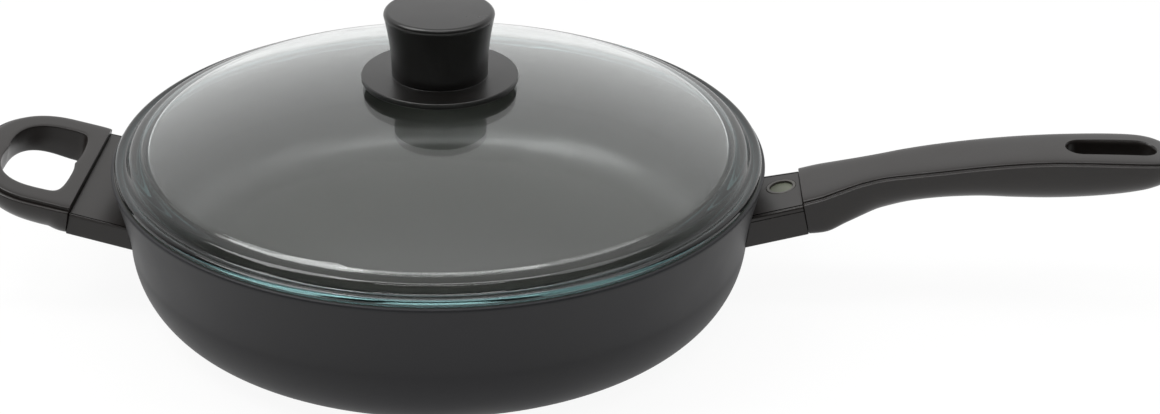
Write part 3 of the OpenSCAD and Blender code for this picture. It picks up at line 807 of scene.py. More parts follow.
def tidy_skin(skin: bmesh.types.BMesh, sharp_degrees: float) -> None:
    """Merges doubles, points faces outwards and keeps real edges sharp.

    Args:
        skin: The mesh to clean.
        sharp_degrees: Edges that bend more than this stay sharp.
    """
    bmesh.ops.remove_doubles(skin, verts=skin.verts, dist=MERGE * MM)
    bmesh.ops.recalc_face_normals(skin, faces=skin.faces)
    for face in skin.faces:
        face.smooth = True
    for edge in skin.edges:
        edge.smooth = not edge.is_manifold or edge.calc_face_angle() < math.radians(sharp_degrees)


def new_piece(
    name: str, skin: bmesh.types.BMesh, materials: Sequence[bpy.types.Material], sharp_degrees: float = SHARP
) -> bpy.types.Object:
    """Makes an object of a skin.

    Args:
        name: The object's name.
        skin: Its mesh, which is freed.
        materials: Its materials, in the order of the faces' numbers.
        sharp_degrees: Edges that bend more than this stay sharp.

    Returns:
        The linked object.
    """
    tidy_skin(skin, sharp_degrees)
    mesh = bpy.data.meshes.new(name)
    skin.to_mesh(mesh)
    skin.free()
    for material in materials:
        mesh.materials.append(material)
    piece = bpy.data.objects.new(name, mesh)
    bpy.context.scene.collection.objects.link(piece)
    return piece


def apply_modifiers(piece: bpy.types.Object) -> None:
    """Turns what the modifiers show into the object's own mesh.

    Args:
        piece: The object to bake.
    """
    evaluated = piece.evaluated_get(bpy.context.evaluated_depsgraph_get())
    mesh = bpy.data.meshes.new_from_object(evaluated)
    old = piece.data
    piece.modifiers.clear()
    piece.data = mesh
    mesh.name = piece.name
    bpy.data.meshes.remove(old)


def cut_away(piece: bpy.types.Object, cutters: Sequence[bmesh.types.BMesh]) -> None:
    """Cuts closed shapes out of a piece.

    Args:
        piece: The piece that is cut.
        cutters: The shapes, which are freed.
    """
    tools = []
    for number, cutter in enumerate(cutters):
        tool = new_piece(f"{piece.name}_cutter_{number}", cutter, piece.data.materials)
        modifier = piece.modifiers.new("cut", "BOOLEAN")
        modifier.solver = "EXACT"
        modifier.object = tool
        tools.append(tool)
    apply_modifiers(piece)
    for tool in tools:
        bpy.data.objects.remove(tool)
    skin = bmesh.new()
    skin.from_mesh(piece.data)
    tidy_skin(skin, SHARP)
    skin.to_mesh(piece.data)
    skin.free()


def settle(piece: bpy.types.Object, body: str, slot: str, *nodes: str) -> None:
    """Lets a piece stand for CAD nodes, which it hides, and move with a body.

    Args:
        piece: The finished piece.
        body: The body that it moves with.
        slot: The record's material slot; not used.
        nodes: The nodes that it stands for.
    """
    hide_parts(*nodes)
    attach(piece, body)
    LOG.info("%s: %d faces on %s for %s", piece.name, len(piece.data.polygons), body, ", ".join(nodes))


def dress_node(node: str, finish: Finish) -> None:
    """Gives a CAD node that is shown as it is its material.

    Args:
        node: The node's name.
        finish: What it is made of.
    """
    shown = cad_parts[node]
    shown.data.materials.clear()
    shown.data.materials.append(finish.material())
    LOG.info("%s keeps its packed shape", node)


@dataclass
class PanBody:
    """The cast and coated pan, turned from one outline. Sizes in millimetres."""

    rim_r: float = 140.0
    height: float = 63.0
    base_r: float = 110.0
    corner_h: float = 30.0
    lip_flare: float = 6.0
    flare_power: float = 1.3
    wall_t: float = 3.5
    floor_t: float = 5.5
    rim_round: float = 1.2
    inner_round: float = 0.5
    groove_count: int = 6
    groove_w: float = 1.6
    groove_d: float = 0.6
    groove_slope: float = 0.15
    groove_r: float = 22.0
    groove_pitch: float = 13.0
    turned_margin: float = 4.0
    segments: int = 256

    @property
    def wall_r(self) -> float:
        """Outer radius where the rounded corner ends."""
        return self.rim_r - self.lip_flare

    @property
    def wall_top(self) -> float:
        """Height at which the rim's rounding starts."""
        return self.height - self.rim_round

    def outer_radius(self, z: float) -> float:
        """Outer radius of the pan at a height, as the handles meet it.

        Args:
            z: Height above the base.

        Returns:
            The radius.
        """
        if z < self.corner_h:
            drop = (self.corner_h - max(0.0, z)) / self.corner_h
            return self.base_r + (self.wall_r - self.base_r) * math.sqrt(max(0.0, 1 - drop ** 2))
        share = min(1.0, (z - self.corner_h) / (self.wall_top - self.corner_h))
        return self.wall_r + self.lip_flare * share ** self.flare_power

    def underside(self) -> list[Point]:
        """Flat base from the axis outwards, with its turned grooves.

        Returns:
            Radius and height pairs.
        """
        points: list[Point] = [(0.0, 0.0)]
        for i in range(self.groove_count):
            start = self.groove_r + i * self.groove_pitch
            end = start + self.groove_w
            points += [(start, 0.0), (start + self.groove_slope, self.groove_d)]
            points += [(end - self.groove_slope, self.groove_d), (end, 0.0)]
        return points + [(self.base_r - self.turned_margin, 0.0)]

    def wall(self, inset: float, steps: int) -> list[Point]:
        """Leaning wall from the corner up to the rim, moved in by inset."""
        heights = [self.corner_h + (self.wall_top - self.corner_h) * i / steps for i in range(1, steps + 1)]
        return [(self.outer_radius(z) - inset, z) for z in heights]

    def outline(self) -> list[Point]:
        """Whole outline from the axis below to the axis inside.

        Returns:
            Radius and height pairs.
        """
        floor_r, bore = self.base_r - self.wall_t, self.rim_r - self.wall_t
        corner = (self.wall_r - self.base_r, self.corner_h)
        outside = arc((self.base_r, self.corner_h), corner, -90, 0, 48) + self.wall(0.0, 32)
        rim = arc((self.rim_r - self.rim_round, self.wall_top), (self.rim_round, self.rim_round), 8, 90, 8)
        lip_centre = (bore + self.inner_round, self.height - self.inner_round)
        lip = arc(lip_centre, (self.inner_round, self.inner_round), 90, 180, 4)
        inner_corner = (self.wall_r - self.wall_t - floor_r, self.corner_h - self.floor_t)
        inside = arc((floor_r, self.corner_h), inner_corner, -90, 0, 48)
        inside += self.wall(self.wall_t, 32)[:-1]
        return self.underside() + outside + rim + lip + inside[::-1] + [(0.0, self.floor_t)]

    def build(self) -> None:
        """Makes the pan's body and dresses its three surfaces."""
        skin = lathe(self.outline(), self.segments)
        floor_limit, slack = self.base_r - self.turned_margin, 0.01
        for face in skin.faces:
            centre = face.calc_center_median() / MM
            radius = math.hypot(centre.x, centre.y)
            if centre.z < self.groove_d + slack and radius < floor_limit:
                face.material_index = 2
            elif centre.z > self.floor_t - slack and radius < self.outer_radius(centre.z) - self.wall_t / 2:
                face.material_index = 1
        materials = [COATED_OUTSIDE.material(), COATED_INSIDE.material(), TURNED_ALUMINIUM.material()]
        piece = new_piece("coated_pan_body", skin, materials)
        settle(piece, "pan", "coated_aluminium", "pan_body")


def crease_steps(width: float, depth: float) -> list[Point]:
    """Valley and ledge between the crown and the side of a moulded grip.

    Args:
        width: Width of the crease.
        depth: Depth of the valley.

    Returns:
        Steps outwards and down from the crown's edge, the outer end left out.
    """
    shares = (
        (0.03, 0.3), (0.09, 0.65), (0.16, 0.9), (0.25, 0.96), (0.35, 0.82),
        (0.46, 0.6), (0.58, 0.44), (0.7, 0.4), (0.82, 0.5), (0.92, 0.7),
    )
    return [(across * width, -down * depth) for across, down in shares]


@dataclass(frozen=True)
class GuardEdge:
    """How the top edges of a guard are moulded. Sizes in millimetres.

    Attributes:
        lip: Radius of the rounded lip along the edge.
        groove_w: Width of the groove between the flat top and the lip.
        groove_d: Depth of that groove.
        step: Depth of the fine shadow line below the lip.
        draft: How far the lip stands back from the side.
        slope: How far the groove's walls lean.
        lip_share: Width of the lip, as a share of its radius.
    """

    lip: float
    groove_w: float
    groove_d: float
    step: float
    draft: float = 0.05
    slope: float = 0.08
    lip_share: float = 1.25

    def outline(self, half_w: float) -> list[Point]:
        """Points from the guard's side up over the lip to its flat top.

        Args:
            half_w: Half width of the guard.

        Returns:
            Points across and up.
        """
        low, side = -2 * self.lip, half_w - self.draft
        # In from the side and up from the lip's foot: the plain side and the shadow line
        foot = ((0.0, -0.8), (0.0, -0.25), (self.step, -0.15), (self.step, 0.05), (self.draft, 0.15))
        points = [(half_w - inwards, low + up) for inwards, up in foot]
        points += arc((side - self.lip, -self.lip), (self.lip, self.lip), 0, 90, 8)
        inner = side - self.lip * self.lip_share
        outer_wall = [(inner, -self.slope), (inner - self.slope, -self.groove_d)]
        inner_wall = [(inner + self.slope - self.groove_w, -self.groove_d), (inner - self.groove_w, 0.0)]
        return points + outer_wall + inner_wall


@dataclass
class Guard:
    """A rigid guard between the pan's wall and a grip. Sizes in millimetres."""

    half_w: float
    flare: float
    height: float
    run: float
    edge: GuardEdge
    rounding: float = 1.0
    wall_gap: float = 0.1
    end_round: float = 0.4
    reach_in: float = 30.0
    rows: int = 26
    halvings: int = 24

    def section(self, half_w: float) -> list[Point]:
        """Section with a flat top, moulded top edges and rounded lower corners.

        Args:
            half_w: Half width of the guard there.

        Returns:
            Points from the right side over the top, the left side and the bottom.
        """
        flat = [(half_w * share, 0.0) for share in (0.8, 0.6, 0.4, 0.2)]
        right = self.edge.outline(half_w) + flat
        left = [(-y, z) for y, z in reversed(right)]
        corner = (self.rounding, self.rounding)
        low_left = arc((self.rounding - half_w, self.rounding - self.height), corner, 180, 270, 6)
        low_right = arc((half_w - self.rounding, self.rounding - self.height), corner, 270, 360, 6)
        below = [(half_w * share, -self.height) for share in (-0.6, -0.2, 0.2, 0.6)]
        return right + [(0.0, 0.0)] + left + low_left + below + low_right

    def flared(self, x: float) -> float:
        """Half width of the guard at a place along the handle."""
        return self.half_w + self.flare * min(1.0, -x / self.run)

    def skin(self, pan: PanBody, place: Matrix) -> bmesh.types.BMesh:
        """Lays the guard's skin from the pan's wall to the joint.

        Args:
            pan: The pan that it meets.
            place: Turns the handle's own millimetres into metres of the row frame.

        Returns:
            The closed skin.
        """
        count = len(self.section(self.half_w))
        starts = [self.wall_x(pan, place, number) for number in range(count)]
        stops = [(row / self.rows, 0.0) for row in range(self.rows)]
        stops += [(1.0, step) for step in ROUND_STEPS]
        rings = []
        for share, step in stops:
            inset = self.end_round * round_off(step)
            back = self.end_round * (1 - step) * share
            ring = []
            for number, start in enumerate(starts):
                x = start * (1 - share) - back
                half_w = self.flared(x)
                y, z = self.section(half_w)[number]
                lift = (z + self.height / 2) * (1 - 2 * inset / self.height) - self.height / 2
                ring.append(place @ Vector((x, y * (1 - inset / half_w), lift)))
            rings.append(ring)
        return skin_over(rings)

    def wall_x(self, pan: PanBody, place: Matrix, number: int) -> float:
        """Where a line of the section meets the pan's wall, along the handle.

        Args:
            pan: The pan that it meets.
            place: Turns the handle's millimetres into the row frame.
            number: Which point of the section.

        Returns:
            The place along the handle, in millimetres.
        """
        low, high = -self.run - self.reach_in, 0.0
        for _ in range(self.halvings):
            middle = (low + high) / 2
            y, z = self.section(self.flared(middle))[number]
            spot = place @ Vector((middle, y, z)) / MM
            outside = math.hypot(spot.x, spot.y) > pan.outer_radius(spot.z) + self.wall_gap
            low, high = (low, middle) if outside else (middle, high)
        return high


@dataclass
class LongHandle:
    """Guard, heat indicator and swan-necked grip on the pan's right. Sizes in millimetres."""

    pan: PanBody
    reach: float = 16.5
    drop: float = 14.0
    rise_degrees: float = 13.5
    guard_half_w: float = 17.5
    guard_flare: float = 2.0
    guard_h: float = 14.0
    guard_edge: GuardEdge = GuardEdge(lip=1.1, groove_w=0.7, groove_d=1.0, step=0.35)
    run_in: float = 6.0
    seam_gap: float = 0.05
    mouth_round: float = 0.35
    length: float = 160.0
    rise: float = 21.8
    depth: float = 20.2
    half_w: float = 18.3
    proud: float = 1.1
    crown: float = 1.2
    crown_power: float = 4.0
    belly_power: float = 2.7
    mouth_power: float = 8.0
    mouth_share: float = 0.2
    crease_w: float = 2.2
    crease_d: float = 0.5
    slot_len: float = 38.0
    slot_w: float = 13.0
    slot_margin: float = 9.6
    slot_flare: float = 1.2
    slot_flare_share: float = 1.6
    screw_u: float = 14.0
    ledge_z: float = -11.65
    access_r: float = 4.96
    indicator_r: float = 6.6
    indicator_lip: float = 1.5
    indicator_pocket: float = 2.0
    indicator_disc_t: float = 1.2
    indicator_back: float = 8.5
    indicator_side: float = 5.0
    indicator_gap: float = 0.1
    ring_round: float = 0.35
    ring_low: float = 0.25
    lip_round: float = 0.2
    lip_low: float = 0.1
    # Place along the grip, height, depth and half width, as shares of its sizes
    stations: tuple[Station, ...] = (
        (0.0, 0.0, 0.793, 1.0),
        (0.05, 0.113, 0.864, 0.985),
        (0.10, 0.235, 0.846, 0.89),
        (0.16, 0.375, 0.85, 0.785),
        (0.22, 0.489, 0.811, 0.76),
        (0.28, 0.58, 0.762, 0.805),
        (0.36, 0.685, 0.762, 0.845),
        (0.46, 0.803, 0.833, 0.855),
        (0.56, 0.898, 0.947, 0.86),
        (0.66, 0.961, 1.0, 0.875),
        (0.76, 0.99, 0.96, 0.915),
        (0.84, 1.0, 0.877, 0.935),
        (0.90, 0.998, 0.775, 0.92),
        (0.935, 0.985, 0.674, 0.865),
        (0.96, 0.965, 0.573, 0.765),
        (0.98, 0.935, 0.449, 0.62),
        (0.993, 0.90, 0.317, 0.44),
        (1.0, 0.86, 0.14, 0.22),
    )

    @property
    def place(self) -> Matrix:
        """Turns the handle's own millimetres into metres of the row frame."""
        return handle_place(self.pan.rim_r + self.reach, self.pan.height - self.drop, self.rise_degrees)

    def start(self) -> Point:
        """Where the grip's crease line starts, in millimetres of the row frame.

        Returns:
            Its X and its Z.
        """
        turn = math.radians(self.rise_degrees)
        x = self.pan.rim_r + self.reach + self.seam_gap * math.cos(turn) - self.proud * math.sin(turn)
        z = self.pan.height - self.drop + self.seam_gap * math.sin(turn) + self.proud * math.cos(turn)
        return x, z

    def section(self, half_w: float, depth: float, crown: float, power: float) -> list[Point]:
        """Section of the grip: crown, crease line, belly, crease line.

        Args:
            half_w: Half width.
            depth: Depth below the crease line.
            crown: Height above it.
            power: Squareness of the belly.

        Returns:
            Points across and up, once round.
        """
        top_w = half_w - self.crease_w
        valley = crease_steps(self.crease_w, self.crease_d)
        points = arc((0.0, 0.0), (top_w, crown), 0, 180, 24, self.crown_power)
        points += [(-top_w - across, up) for across, up in valley]
        points += arc((0.0, -self.crease_d), (half_w, depth - self.crease_d), 180, 360, 40, power)
        return points + [(top_w + across, up) for across, up in reversed(valley)]

    def ring(self, station: Station, inset: float = 0.0) -> list[Vector]:
        """One ring of the grip's skin in the row frame.

        Args:
            station: Shares along, up, deep and wide.
            inset: How far the ring shrinks on all sides, in millimetres.

        Returns:
            Its points in metres.
        """
        along, up, deep, wide = station
        tilt = math.radians(self.rise_degrees * (1 - along))
        x0, z0 = self.start()
        x, z = x0 + along * self.length, z0 + up * self.rise
        power = self.mouth_power + (self.belly_power - self.mouth_power) * eased(along / self.mouth_share)
        outline = self.section(wide * self.half_w, deep * self.depth, self.crown * wide, power)
        middle = -deep * self.depth / 2
        narrow = 1 - inset / (wide * self.half_w)
        low = 1 + inset / middle
        cos, sin = math.cos(tilt), math.sin(tilt)
        points = []
        for across, height in outline:
            lift = middle + (height - middle) * low
            points.append(Vector((x - lift * sin, across * narrow, z + lift * cos)) * MM)
        return points

    def mouth(self) -> list[list[Vector]]:
        """Rings that round the grip's edge at its joint with the guard.

        Returns:
            The rings, from the joint on.
        """
        first, second = self.stations[0], self.stations[1]
        rings = []
        for step in reversed(ROUND_STEPS):
            share = self.mouth_round * (1 - step) / (second[0] * self.length)
            station = tuple(a + (b - a) * share for a, b in zip(first, second))
            rings.append(self.ring(station, self.mouth_round * round_off(step)))
        return rings

    def slot_cutter(self) -> bmesh.types.BMesh:
        """Stadium through the grip's end with a rounded mouth at the top.

        Returns:
            The closed cutter.
        """
        x0, z0 = self.start()
        radius = self.slot_w / 2
        far = x0 + self.length - self.slot_margin - radius
        near = far - self.slot_len + self.slot_w
        top = z0 + self.rise + self.crown
        low = z0 - self.depth
        flare_h, steps = self.slot_flare * self.slot_flare_share, 5
        levels = [(low, 0.0)]
        for i in range(steps + 1):
            grow = self.slot_flare * (1 - math.cos(math.pi / 2 * i / steps))
            levels.append((top - flare_h * (1 - i / steps), grow))
        above, wider = self.slot_flare * 3, self.slot_flare * 1.2
        levels.append((top + above, wider))
        rings = []
        for z, grow in levels:
            radii = (radius + grow, radius + grow)
            stadium = arc((far, 0.0), radii, -90, 90, 24) + arc((near, 0.0), radii, 90, 270, 24)
            rings.append([Vector((x, y, z)) * MM for x, y in stadium])
        return skin_over(rings)

    def build_guard(self) -> None:
        """Makes the guard with the pocket of the heat indicator."""
        level_run = self.pan.rim_r + self.reach - self.pan.wall_r
        run = level_run / math.cos(math.radians(self.rise_degrees)) + self.run_in
        guard = Guard(self.guard_half_w, self.guard_flare, self.guard_h, run, self.guard_edge)
        piece = new_piece("long_guard", guard.skin(self.pan, self.place), [HANDLE_LACQUER.material()])
        spot = (-self.indicator_back, self.indicator_side)
        ends = (-self.indicator_pocket, self.indicator_pocket)
        cut_away(piece, [post(self.place, spot, ends, self.indicator_r + self.indicator_gap, 64)])
        settle(piece, "pan", "handle_lacquer", "long_handle_guard")

    def build_indicator(self) -> None:
        """Makes the ring with its rounded lip and the sunk disc."""
        inner = self.indicator_r - self.indicator_lip
        low, lip = -self.indicator_pocket, (self.lip_round, self.lip_round)
        ring_outline = [(self.indicator_r, low), (self.indicator_r, -self.ring_low)]
        centre = (self.indicator_r - self.ring_round, -self.ring_low)
        ring_outline += arc(centre, (self.ring_round, self.ring_round), 0, 90, 6)
        ring_outline += arc((inner + self.lip_round, -self.lip_low), lip, 90, 180, 4) + [(inner, low)]
        ring = new_piece("heat_ring", lathe(ring_outline, 96, True), [INDICATOR_RING.material()])
        top, disc_r = low + self.indicator_disc_t, inner - self.indicator_gap
        disc_outline = [(0.0, low), (disc_r, low), (disc_r, top - self.lip_round)]
        disc_outline += arc((disc_r - self.lip_round, top - self.lip_round), lip, 0, 90, 4) + [(0.0, top)]
        disc = new_piece("heat_disc", lathe(disc_outline, 96), [INDICATOR_DISC.material()])
        shift = Matrix.Translation(Vector((-self.indicator_back, self.indicator_side, 0.0)) * MM)
        for piece in (ring, disc):
            piece.data.transform(self.place @ TO_MM @ shift)
        settle(ring, "pan", "indicator_ring", "heat_indicator_ring")
        settle(disc, "pan", "indicator_disc", "heat_indicator_disc")

    def build_grip(self) -> None:
        """Makes the grip with its slot and the access hole of its screw."""
        rings = self.mouth() + [self.ring(station) for station in smooth_rows(self.stations, 9)[1:]]
        piece = new_piece("long_grip", skin_over(rings), [HANDLE_LACQUER.material()])
        ends = (self.ledge_z - self.depth, self.ledge_z)
        access = post(self.place, (self.screw_u, 0.0), ends, self.access_r, 64)
        cut_away(piece, [self.slot_cutter(), access])
        settle(piece, "pan", "handle_lacquer", "long_handle_grip")

    def build(self) -> None:
        """Makes the whole handle."""
        self.build_guard()
        self.build_indicator()
        self.build_grip()


@dataclass
class SideHandle:
    """Guard and D-shaped loop on the pan's left. Sizes in millimetres."""

    pan: PanBody
    reach: float = 13.5
    drop: float = 16.0
    rise_degrees: float = 13.5
    guard_half_w: float = 40.0
    guard_flare: float = 1.0
    guard_h: float = 10.0
    guard_edge: GuardEdge = GuardEdge(lip=0.55, groove_w=0.5, groove_d=0.7, step=0.0)
    seam_gap: float = 0.05
    mouth_round: float = 0.35
    loop_reach: float = 49.0
    side_proud: float = 2.0
    bar: float = 7.4
    band: float = 15.0
    end_band: float = 12.5
    lean: float = 1.9
    depth: float = 12.6
    belly_depth: float = 13.6
    end_depth: float = 10.0
    crown: float = 1.3
    proud: float = 1.6
    crease_w: float = 2.2
    crease_d: float = 0.9
    keel_share: float = 0.25
    mouth_share: float = 0.2
    run_in: float = 6.0
    centre_share: float = 0.34
    # Squareness of the outlines beyond the centre and towards the joint, and of the section's sides
    outer_powers: Point = (2.2, 9.0)
    inner_powers: Point = (2.6, 5.5)
    crown_powers: Point = (4.0, 6.0)
    wall_power: float = 5.0
    belly_power: float = 1.9
    steps: int = 240
    screw_u: float = 5.93
    screw_side: float = 33.94
    ledge_z: float = -7.7
    access_r: float = 3.63

    @property
    def middle(self) -> float:
        """Centre about which the band runs."""
        return self.loop_reach * self.centre_share

    @property
    def place(self) -> Matrix:
        """Turns the handle's own millimetres into metres of the row frame, on the pan's other side."""
        place = handle_place(self.pan.rim_r + self.reach, self.pan.height - self.drop, self.rise_degrees)
        return Matrix.Scale(-1, 4, (1, 0, 0)) @ place

    @staticmethod
    def polar(turn: float, along: float, across: float, power: float) -> float:
        """Radius of a superellipse in one direction."""
        total = abs(math.cos(turn) / along) ** power + abs(math.sin(turn) / across) ** power
        return total ** (-1 / power)

    def outer(self, turn: float) -> float:
        """Distance of the loop's outer outline from its centre.

        Args:
            turn: Direction from the loop's centre, in radians.

        Returns:
            The distance.
        """
        across = self.guard_half_w + self.side_proud
        if math.cos(turn) > 0:
            return self.polar(turn, self.loop_reach - self.middle, across, self.outer_powers[0])
        return self.polar(turn, self.middle + self.run_in, across, self.outer_powers[1])

    def inner(self, turn: float) -> float:
        """Distance of the finger opening's edge from the loop's centre.

        Args:
            turn: Direction from the loop's centre, in radians.

        Returns:
            The distance.
        """
        across = self.guard_half_w + self.side_proud - self.band
        if math.cos(turn) > 0:
            along = self.loop_reach - self.middle - self.end_band
            return self.polar(turn, along, across, self.inner_powers[0])
        return self.polar(turn, self.middle - self.bar, across, self.inner_powers[1])

    def section(self, band: float, lean: float, depth: float, power: float) -> list[Point]:
        """Section of the band from its inner to its outer side.

        Args:
            band: Width of the band.
            lean: How far the opening's wall leans back towards its top.
            depth: Depth below the crease line.
            power: Squareness of the outer lower side.

        Returns:
            Points outwards and up, once round.
        """
        keel = band * self.keel_share
        middle, half = (band - self.crease_w + lean) / 2, (band - self.crease_w - lean) / 2
        points = arc((middle, 0.0), (half, self.crown), 0, 90, 12, self.crown_powers[0])[:-1]
        points += arc((middle, 0.0), (half, self.crown), 90, 180, 12, self.crown_powers[1])
        for across, up in arc((0.0, 0.0), (1.0, 1.0), 180, 270, 20, self.wall_power)[1:]:
            points.append((keel * (1 + across) + lean * (1 + up), depth * up))
        points += arc((keel, -self.crease_d), (band - keel, depth - self.crease_d), 270, 360, 20, power)[1:]
        valley = crease_steps(self.crease_w, self.crease_d)
        return points + [(band - self.crease_w + across, up) for across, up in reversed(valley)]

    def ring(self, turn: float) -> list[Vector]:
        """One ring of the loop's skin in the handle's own millimetres.

        Args:
            turn: Direction from the loop's centre, in radians.

        Returns:
            Its points.
        """
        start = self.inner(turn)
        band = self.outer(turn) - start
        run = (self.middle + (start + band / 2) * math.cos(turn)) / self.loop_reach
        mouth = eased(run / self.mouth_share)
        square = self.wall_power + (self.belly_power - self.wall_power) * mouth
        end = eased((run - self.mouth_share) / (1 - self.mouth_share))
        depth = self.depth + (self.belly_depth - self.depth) * mouth
        depth += (self.end_depth - self.belly_depth) * end
        outline = self.section(band, self.lean * abs(math.sin(turn)), depth, square)
        way = Vector((math.cos(turn), math.sin(turn), 0.0))
        foot = Vector((self.middle, 0.0, self.proud))
        return [foot + way * (start + outwards) + Vector((0.0, 0.0, up)) for outwards, up in outline]

    def cut_at_joint(self, skin: bmesh.types.BMesh) -> None:
        """Cuts the loop flat at its joint and rounds the edge of the cut.

        Args:
            skin: The loop's whole skin, in the handle's own millimetres.
        """
        for step in ROUND_STEPS:
            place = (self.seam_gap + self.mouth_round * (1 - step), 0.0, 0.0)
            parts, last = skin.verts[:] + skin.edges[:] + skin.faces[:], step == ROUND_STEPS[-1]
            bmesh.ops.bisect_plane(skin, geom=parts, plane_co=place, plane_no=(-1, 0, 0), clear_outer=last)
        skin.normal_update()
        moves, hair = [], 0.001
        for vert in skin.verts:
            share = 1 - (vert.co.x - self.seam_gap) / self.mouth_round
            if share > hair:
                flat = Vector((0.0, vert.normal.y, vert.normal.z)).normalized()
                moves.append((vert, flat * self.mouth_round * round_off(min(1.0, share))))
        for vert, move in moves:
            vert.co -= move
        bmesh.ops.holes_fill(skin, edges=[edge for edge in skin.edges if edge.is_boundary])

    def build_guard(self) -> None:
        """Makes the wide guard."""
        half_w = self.guard_half_w + self.guard_flare
        chord = math.sqrt(self.pan.wall_r ** 2 - half_w ** 2)
        run = (self.pan.rim_r + self.reach - chord) / math.cos(math.radians(self.rise_degrees)) + self.run_in
        guard = Guard(self.guard_half_w, self.guard_flare, self.guard_h, run, self.guard_edge)
        piece = new_piece("side_guard", guard.skin(self.pan, self.place), [HANDLE_LACQUER.material()])
        settle(piece, "pan", "handle_lacquer", "side_handle_guard")

    def build_loop(self) -> None:
        """Makes the loop, cut flat at its joint."""
        rings = [self.ring(math.tau * (i + 0.5) / self.steps) for i in range(self.steps)]
        skin = skin_over(rings, closed=True)
        bmesh.ops.recalc_face_normals(skin, faces=skin.faces)
        self.cut_at_joint(skin)
        skin.transform(self.place)
        piece = new_piece("side_loop", skin, [HANDLE_LACQUER.material()])
        ends = (self.ledge_z - self.depth, self.ledge_z)
        spots = [(self.screw_u, side * self.screw_side) for side in (-1, 1)]
        cut_away(piece, [post(self.place, spot, ends, self.access_r, 48) for spot in spots])
        settle(piece, "pan", "handle_lacquer", "side_handle_grip")

    def build(self) -> None:
        """Makes the whole handle."""
        self.build_guard()
        self.build_loop()


